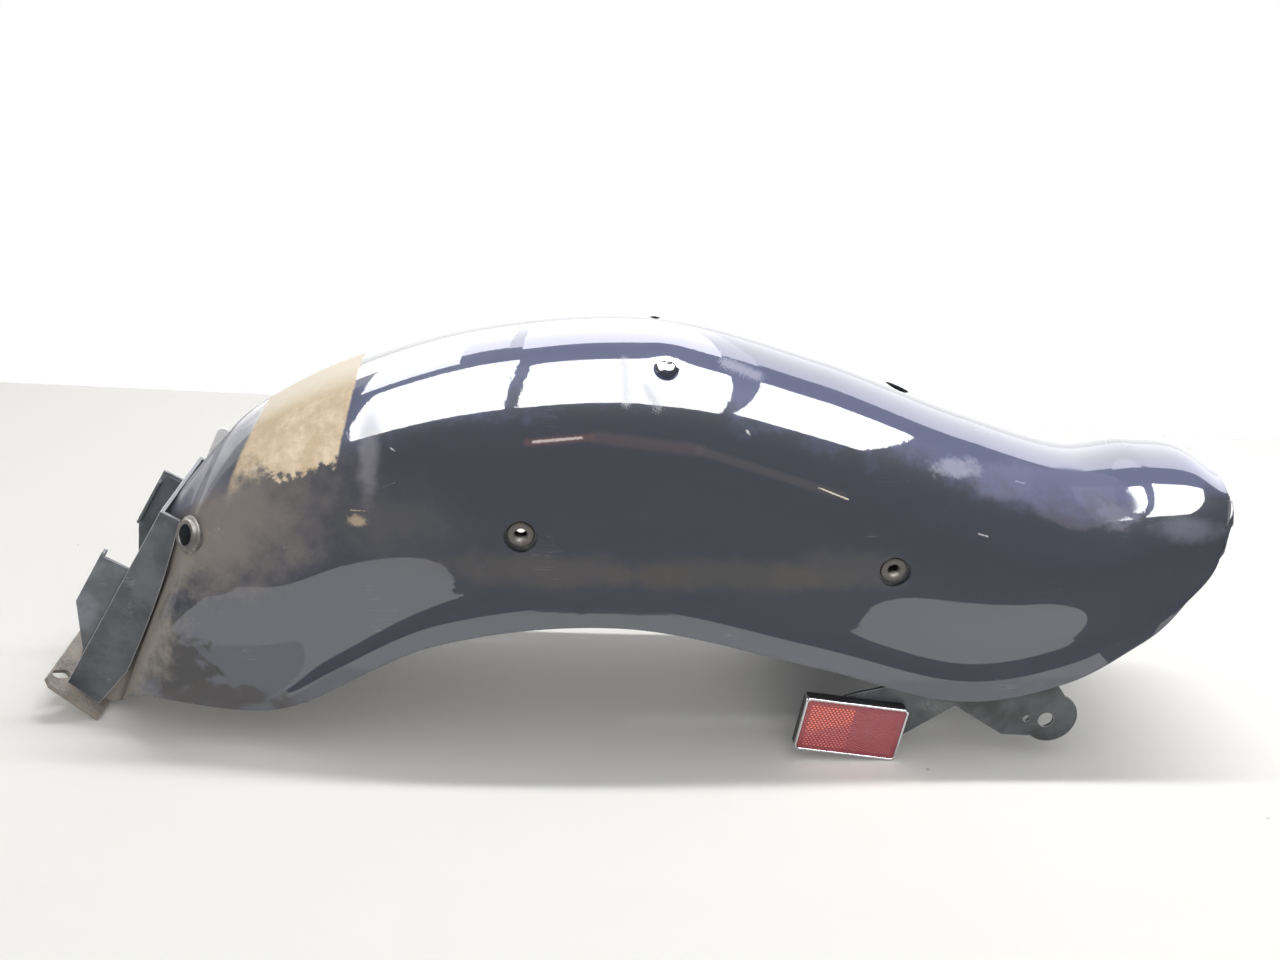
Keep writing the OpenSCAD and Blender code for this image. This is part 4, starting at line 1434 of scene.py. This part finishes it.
@dataclass
class Studio:
    """Pale floor, soft light, the dim room that the gloss mirrors, and the camera."""

    skylights: tuple[tuple[Point, ...], ...] = (
        ((-1.52, 0.16), (-0.526, 0.16), (-0.664, -2.00), (-1.97, -2.00)),
        ((-0.472, -0.10), (0.89, -0.10), (1.02, -2.02), (-0.595, -2.02)),
        ((1.07, 0.0), (1.90, 0.0), (1.86, -1.80), (1.08, -1.80)),
    )
    panels: tuple[Row, ...] = (
        (-1.62, -0.90, 0.42, 3.70, 10.0), (-0.90, -0.60, 0.80, 3.70, 8.0),
        (-0.53, 0.85, 0.60, 3.70, 8.5), (1.10, 5.00, 0.80, 3.70, 4.2),
        (0.85, 1.10, 0.72, 3.70, 5.2), (-0.60, -0.53, 0.74, 3.70, 5.5),
        (-2.15, -1.62, 1.55, 3.70, 10.0),
    )
    ceiling: float = 2.2
    # Outlines of the glowing patches that paint pale reflections of the floor.
    patches: tuple[tuple[Point, ...], ...] = (
        ((0.235, -0.26), (0.245, -0.36), (0.29, -0.43), (0.35, -0.455), (0.54, -0.455),
         (0.54, -0.26)),
        ((-0.80, -0.26), (-0.80, -0.40), (-0.70, -0.52), (-0.53, -0.60), (-0.55, -0.70),
         (-0.38, -0.64), (-0.18, -0.50), (-0.18, -0.26)),
        ((-0.30, -0.40), (0.40, -0.40), (0.40, -0.26), (-0.30, -0.26)),
    )
    lamp_power: float = 24.0
    world_light: float = 0.42
    eye: tuple[float, float, float] = (-0.10688, -0.97299, 0.60536)
    ahead: tuple[float, float, float] = (0.0969, 0.9221, -0.3746)
    level: tuple[float, float, float] = (0.9945, -0.0743, 0.0744)
    lens: float = 33.75

    def staged(self, name: str, bm: bmesh.types.BMesh, finish: Finish) -> bpy.types.Object:
        """Make a piece of the studio, which isn't part of the fender."""
        mesh = bpy.data.meshes.new(name)
        bm.to_mesh(mesh)
        bm.free()
        mesh.materials.append(finish.build())
        thing = bpy.data.objects.new(name, mesh)
        bpy.context.scene.collection.objects.link(thing)
        return thing

    def mirrored(self, name: str, bm: bmesh.types.BMesh, finish: Finish) -> None:
        """Make a piece of the studio that is seen in reflections and nowhere else."""
        thing = self.staged(name, bm, finish)
        thing.visible_camera = False
        thing.visible_diffuse = False
        thing.visible_shadow = False
        thing.visible_transmission = False
        thing.visible_volume_scatter = False

    def sheet(self, x0: float, x1: float, y0: float, y1: float, z: float) -> bmesh.types.BMesh:
        """A flat level rectangle."""
        bm = bmesh.new()
        bmesh.ops.create_grid(bm, x_segments=1, y_segments=1, size=0.5)
        bmesh.ops.scale(bm, vec=(x1 - x0, y1 - y0, 1.0), verts=bm.verts[:])
        bmesh.ops.translate(bm, vec=((x0 + x1) / 2, (y0 + y1) / 2, z), verts=bm.verts[:])
        return bm

    def rounded(self, outline: Sequence[Point], z: float, corner: float) -> bmesh.types.BMesh:
        """A flat level face with round corners.

        Args:
            outline: its corners, in order.
            z: its height.
            corner: radius of the corners.

        Returns:
            The face.
        """
        bm = bmesh.new()
        bm.faces.new([bm.verts.new((x, y, z)) for x, y in outline])
        bmesh.ops.bevel(
            bm, geom=bm.verts[:], offset=corner, segments=5, profile=0.5, affect="VERTICES",
            material=-1,
        )
        return bm

    def floor(self) -> None:
        """Lay the white floor, and the painted reflection that the gloss sees in its place: glowing
        pale patches on a dim sheet.
        """
        self.staged("floor", self.sheet(-3.0, 3.0, -1.6, 0.80, 0.0), PlainFloor("floor_white"))
        # Painted reflection: for the gloss only, a dim sheet paints the floor's reflection dark, and
        # glowing pale patches paint its pale reflections.
        dim = self.sheet(-6.0, 6.0, -6.0, -0.27, 0.0004)
        self.mirrored("painted_reflection_dark", dim, Glow("painted_reflection_dark", (0.50, 0.48, 0.62), 0.06))
        for i, outline in enumerate(self.patches):
            patch = self.rounded(outline, 0.0008, 0.025)
            self.mirrored(f"floor_pale_{i}", patch, Glow("floor_pale", PAPER, 1.3))

    def room(self) -> None:
        """Put up the dim room, the ceiling's lights and the back wall for the reflections."""
        bm = bmesh.new()
        bmesh.ops.create_cube(bm, size=1.0)
        bmesh.ops.scale(bm, vec=(7.0, 6.6, 2.6), verts=bm.verts[:])
        bmesh.ops.translate(bm, vec=(0.0, -2.2, 1.25), verts=bm.verts[:])
        back = [f for f in bm.faces if f.calc_center_median().y > 1.0]
        bmesh.ops.delete(bm, geom=back, context="FACES")
        self.mirrored("room", bm, Glow("room_dim", (0.62, 0.62, 0.86), 0.075))
        for i, outline in enumerate(self.skylights):
            light = self.rounded(outline, self.ceiling, 0.06)
            self.mirrored(f"skylight_{i}", light, Glow("skylight", PAPER, 13.5))
        for i, (x0, x1, y0, y1, power) in enumerate(self.panels):
            tint = PAPER if power >= 10 else (0.93, 0.92, 1.0)
            panel = self.sheet(x0, x1, y0, y1, self.ceiling)
            self.mirrored(f"panel_{i}", panel, Glow(f"panel_{power:g}", tint, power))
        wall = self.sheet(-6.0, 6.0, -1.3, 1.3, 0.0)
        upright = Matrix.Translation((0.0, 3.72, 0.95)) @ Matrix.Rotation(math.pi / 2, 4, "X")
        bmesh.ops.transform(wall, matrix=upright, verts=wall.verts[:])
        self.mirrored("back_wall", wall, Glow("back_wall_light", PAPER, 2.6))

    def lamps(self) -> None:
        """Hang soft lamps over the fender and set the world's light."""
        for name, place, tilt, size, power in (
            ("lamp_front", (0.12, -2.7, 0.75), 78.0, (2.4, 0.9), 1.3),
            ("lamp_row", (0.62, 0.35, 2.2), 0.0, (1.9, 0.08), 1.4),
        ):
            data = bpy.data.lights.new(name, "AREA")
            data.shape = "RECTANGLE"
            data.size, data.size_y = size
            data.energy = power * self.lamp_power
            lamp = bpy.data.objects.new(name, data)
            lamp.location = place
            lamp.rotation_euler = (math.radians(tilt), 0.0, 0.0)
            lamp.visible_glossy = False
            bpy.context.scene.collection.objects.link(lamp)
        world = bpy.data.worlds.new("studio")
        world.use_nodes = True
        world.node_tree.nodes.clear()
        tree = Tree(world.node_tree)
        path = tree.node("ShaderNodeLightPath").outputs
        seen = tree.most(path["Is Camera Ray"], path["Is Glossy Ray"], path["Is Transmission Ray"])
        strength = tree.lerp(seen, self.world_light, 1.0)
        back = tree.node("ShaderNodeBackground", {"Color": PAPER, "Strength": strength})
        output = tree.node("ShaderNodeOutputWorld")
        tree.put(output.inputs["Surface"], back.outputs[0])
        bpy.context.scene.world = world

    def camera(self) -> None:
        """Stand the camera where the photograph was taken from."""
        data = bpy.data.cameras.new("camera")
        data.sensor_fit = "HORIZONTAL"
        data.sensor_width = 36.0
        data.lens = self.lens
        data.clip_start = 0.01
        ahead, right = Vector(self.ahead).normalized(), Vector(self.level)
        right = (right - right.dot(ahead) * ahead).normalized()
        up = right.cross(ahead)
        turn = Matrix((right, up, -ahead)).transposed().to_4x4()
        camera = bpy.data.objects.new("camera", data)
        camera.matrix_world = Matrix.Translation(self.eye) @ turn
        bpy.context.scene.collection.objects.link(camera)
        bpy.context.scene.camera = camera

    def build(self) -> None:
        """Set up the whole studio."""
        self.camera()
        self.floor()
        self.room()
        self.lamps()
        bpy.context.scene.view_settings.view_transform = "Standard"


# ---------------------------------------------------------------- the fender


PAINT = FenderPaint(
    "fender_paint",
    clouds=(
        Cloud((-0.210, -0.097, 0.205), (0.080, 0.04, 0.050), (0.12, 0.115, 0.11), 0.45, 0.9),
        Cloud((-0.236, -0.099, 0.206), (0.010, 0.02, 0.006), TAN, 0.55, 0.6, 2.2, 160.0),
        Cloud((-0.228, -0.085, 0.262), (0.012, 0.04, 0.050), (0.30, 0.29, 0.33), 0.5, 0.7),
        Cloud((-0.080, -0.104, 0.170), (0.130, 0.03, 0.020), (0.105, 0.095, 0.085), 0.6, 0.7),
        Cloud((0.070, -0.105, 0.172), (0.130, 0.03, 0.020), (0.10, 0.092, 0.080), 0.55, 0.7),
        Cloud((0.160, -0.105, 0.178), (0.080, 0.03, 0.024), (0.13, 0.12, 0.105), 0.3),
        Cloud((-0.385, -0.099, 0.072), (0.036, 0.03, 0.034), (0.065, 0.062, 0.062), 0.9, 0.3, 2.2,
              70.0),
        Cloud((-0.345, -0.104, 0.044), (0.060, 0.03, 0.014), (0.075, 0.070, 0.068), 0.85, 0.4, 1.8,
              70.0),
        # Lilac-grey clouds over the rear shoulder: they dull the gloss and paint the grey and
        # lavender tones of its reflections, as painted reflection.
        Cloud((0.300, -0.068, 0.250), (0.060, 0.03, 0.018), (0.13, 0.12, 0.165), 0.8, 0.5),
        Cloud((0.362, -0.068, 0.240), (0.055, 0.034, 0.030), (0.105, 0.10, 0.135), 0.97, 0.2, 0.5,
              45.0, 1.0),
        Cloud((0.395, -0.078, 0.228), (0.024, 0.020, 0.014), (0.20, 0.19, 0.25), 0.6, 0.6, 1.8, 90.0),
        Cloud((0.455, -0.086, 0.220), (0.045, 0.03, 0.014), (0.24, 0.24, 0.31), 0.45, 0.8),
        Cloud((0.250, -0.072, 0.262), (0.030, 0.03, 0.010), (0.52, 0.52, 0.60), 0.6, 0.7, 1.8, 80.0),
    ),
    marks=(
        Mark((-0.100, -0.095, 0.277), (-0.063, -0.095, 0.282), 0.0016, (0.95, 0.86, 0.84)),
        Mark((-0.105, -0.095, 0.276), (-0.055, -0.095, 0.283), 0.0042, (0.17, 0.09, 0.085), 0.5),
        Mark((-0.052, -0.095, 0.283), (0.030, -0.095, 0.276), 0.0070, (0.13, 0.10, 0.10), 0.4, 0.6),
        Mark((0.030, -0.095, 0.276), (0.150, -0.097, 0.243), 0.0050, (0.13, 0.115, 0.11), 0.35, 0.6),
        Mark((0.130, -0.097, 0.249), (0.155, -0.097, 0.240), 0.0009, CREAM, 0.9),
        Mark((0.068, -0.087, 0.291), (0.072, -0.087, 0.286), 0.0016, PALE, 0.9),
        Mark((-0.294, -0.099, 0.179), (-0.291, -0.099, 0.180), 0.0030, PALE, 0.9),
        # A pale spot beside the collar: a paint chip with a painted highlight on it.
        Mark((-0.346, -0.093, 0.190), (-0.344, -0.093, 0.191), 0.0022, PALE, 0.9),
        Mark((-0.240, -0.097, 0.214), (-0.213, -0.098, 0.214), 0.0009, TAN, 0.6),
        Mark((-0.212, -0.090, 0.266), (-0.206, -0.090, 0.262), 0.0009, PALE, 0.7),
        Mark((-0.146, -0.093, 0.268), (-0.142, -0.093, 0.262), 0.0010, PALE, 0.5),
        Mark((-0.225, -0.097, 0.230), (-0.206, -0.097, 0.239), 0.0006, PALE, 0.4),
        Mark((0.270, -0.095, 0.213), (0.278, -0.095, 0.211), 0.0008, PALE, 0.8),
        Mark((0.285, -0.068, 0.252), (0.312, -0.068, 0.249), 0.0010, (0.50, 0.55, 0.62), 0.7),
        Mark((0.290, -0.069, 0.248), (0.308, -0.068, 0.251), 0.0007, (0.60, 0.64, 0.70), 0.7),
        Mark((-0.031, -0.059, 0.337), (-0.029, -0.084, 0.309), 0.0045, PALE, 0.45, 3.2),
        Mark((-0.014, -0.076, 0.320), (-0.004, -0.086, 0.307), 0.0050, (0.50, 0.50, 0.53), 0.45, 3.2),
        Mark((0.052, -0.050, 0.336), (0.078, -0.055, 0.329), 0.0080, (0.60, 0.61, 0.70), 0.6, 2.4),
    ),
)
FLANGE = SatinPaint("flange_dust", (0.13, 0.12, 0.105), dust=(0.36, 0.31, 0.25), dusty=0.85,
                    dust_up=0.5, wear=0.3)
# Its pale, wide edge wear is partly real wear and partly a painted highlight along the cheeks' front
# edges.
BRACKET = SatinPaint("bracket_black", (0.076, 0.081, 0.092), worn=(0.62, 0.62, 0.64),
                     dusty=0.3, wear=0.9)
HOOK = SatinPaint("hook_grey", (0.13, 0.14, 0.155), worn=(0.30, 0.30, 0.31), wear=0.6,
                  roughness=0.42)
STIFFENER = SatinPaint("stiffener_black", (0.11, 0.12, 0.135), wear=0.5, roughness=0.3)
TAB = SatinPaint("tab_pale", (0.93, 0.92, 0.91), worn=(0.95, 0.94, 0.93), dusty=0.1, shade=0.1)
COLLAR = SatinPaint("collar_dust", (0.13, 0.12, 0.11), worn=(0.32, 0.29, 0.26),
                    dust=(0.30, 0.26, 0.21), dusty=0.6, dust_up=0.4, wear=0.5)
BORE = SatinPaint("bore_navy", (0.022, 0.026, 0.036), dusty=0.2, dust_up=0.8, wear=0.1)
STRAP = SatinPaint("strap_black", (0.06, 0.063, 0.068), dusty=0.5, dust_up=0.0)
NUT = BareSteel("nut_zinc", (0.20, 0.19, 0.175), (0.10, 0.085, 0.07), 0.55, 0.55)
STAY = SatinPaint("stay_black", (0.050, 0.054, 0.058), worn=(0.34, 0.34, 0.34),
                  dust=(0.19, 0.19, 0.185), dusty=0.45, dust_up=0.2, wear=0.85, shade=0.5)


def main() -> None:
    """Build and dress the fender, then set up the studio around it."""
    form = FenderForm()
    Shell(form).build(PAINT)
    for node, finish, slot, edge in (
        ("base_flange", FLANGE, "flange_dusty", 1.1),
        ("hook_bracket_left", HOOK, "plate_grey", 0.6),
        ("hook_bracket_right", HOOK, "plate_grey", 0.6),
        ("hook_stiffener", STIFFENER, "stiffener_black", 0.5),
        ("cable_tab", TAB, "tab_pale", 0.5),
        ("side_strap_left", STRAP, "strap_black", 0.5),
        ("side_strap_right", STRAP, "strap_black", 0.5),
        ("rear_stay_left", STAY, "stay_black", 0.6),
        ("rear_stay_right", STAY, "stay_black", 0.6),
    ):
        PlateCopy(node, finish, slot, edge).build()
    FrontBracket("front_bracket", BRACKET, "bracket_black", 0.7, form=form).build()
    Collars(form).build(COLLAR, BORE)
    SideNuts(form).build(NUT)
    SeatScrews(form).build(Chrome("screw_chrome"))
    Reflector().build(Plastic("housing_black"), Chrome("bezel_bright", (0.60, 0.60, 0.62), 0.16),
                      ReflexLens("lens_red"))
    zinc = BareSteel("small_zinc", (0.6, 0.6, 0.6), roughness=0.3).build()
    for node in ("seat_nuts", "reflector_nuts_left", "reflector_nuts_right"):
        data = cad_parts[node].data
        data.materials.clear()
        data.materials.append(zinc)
        log.info("%s: finished", node)
    Studio().build()


if __name__ == "__main__":
    main()
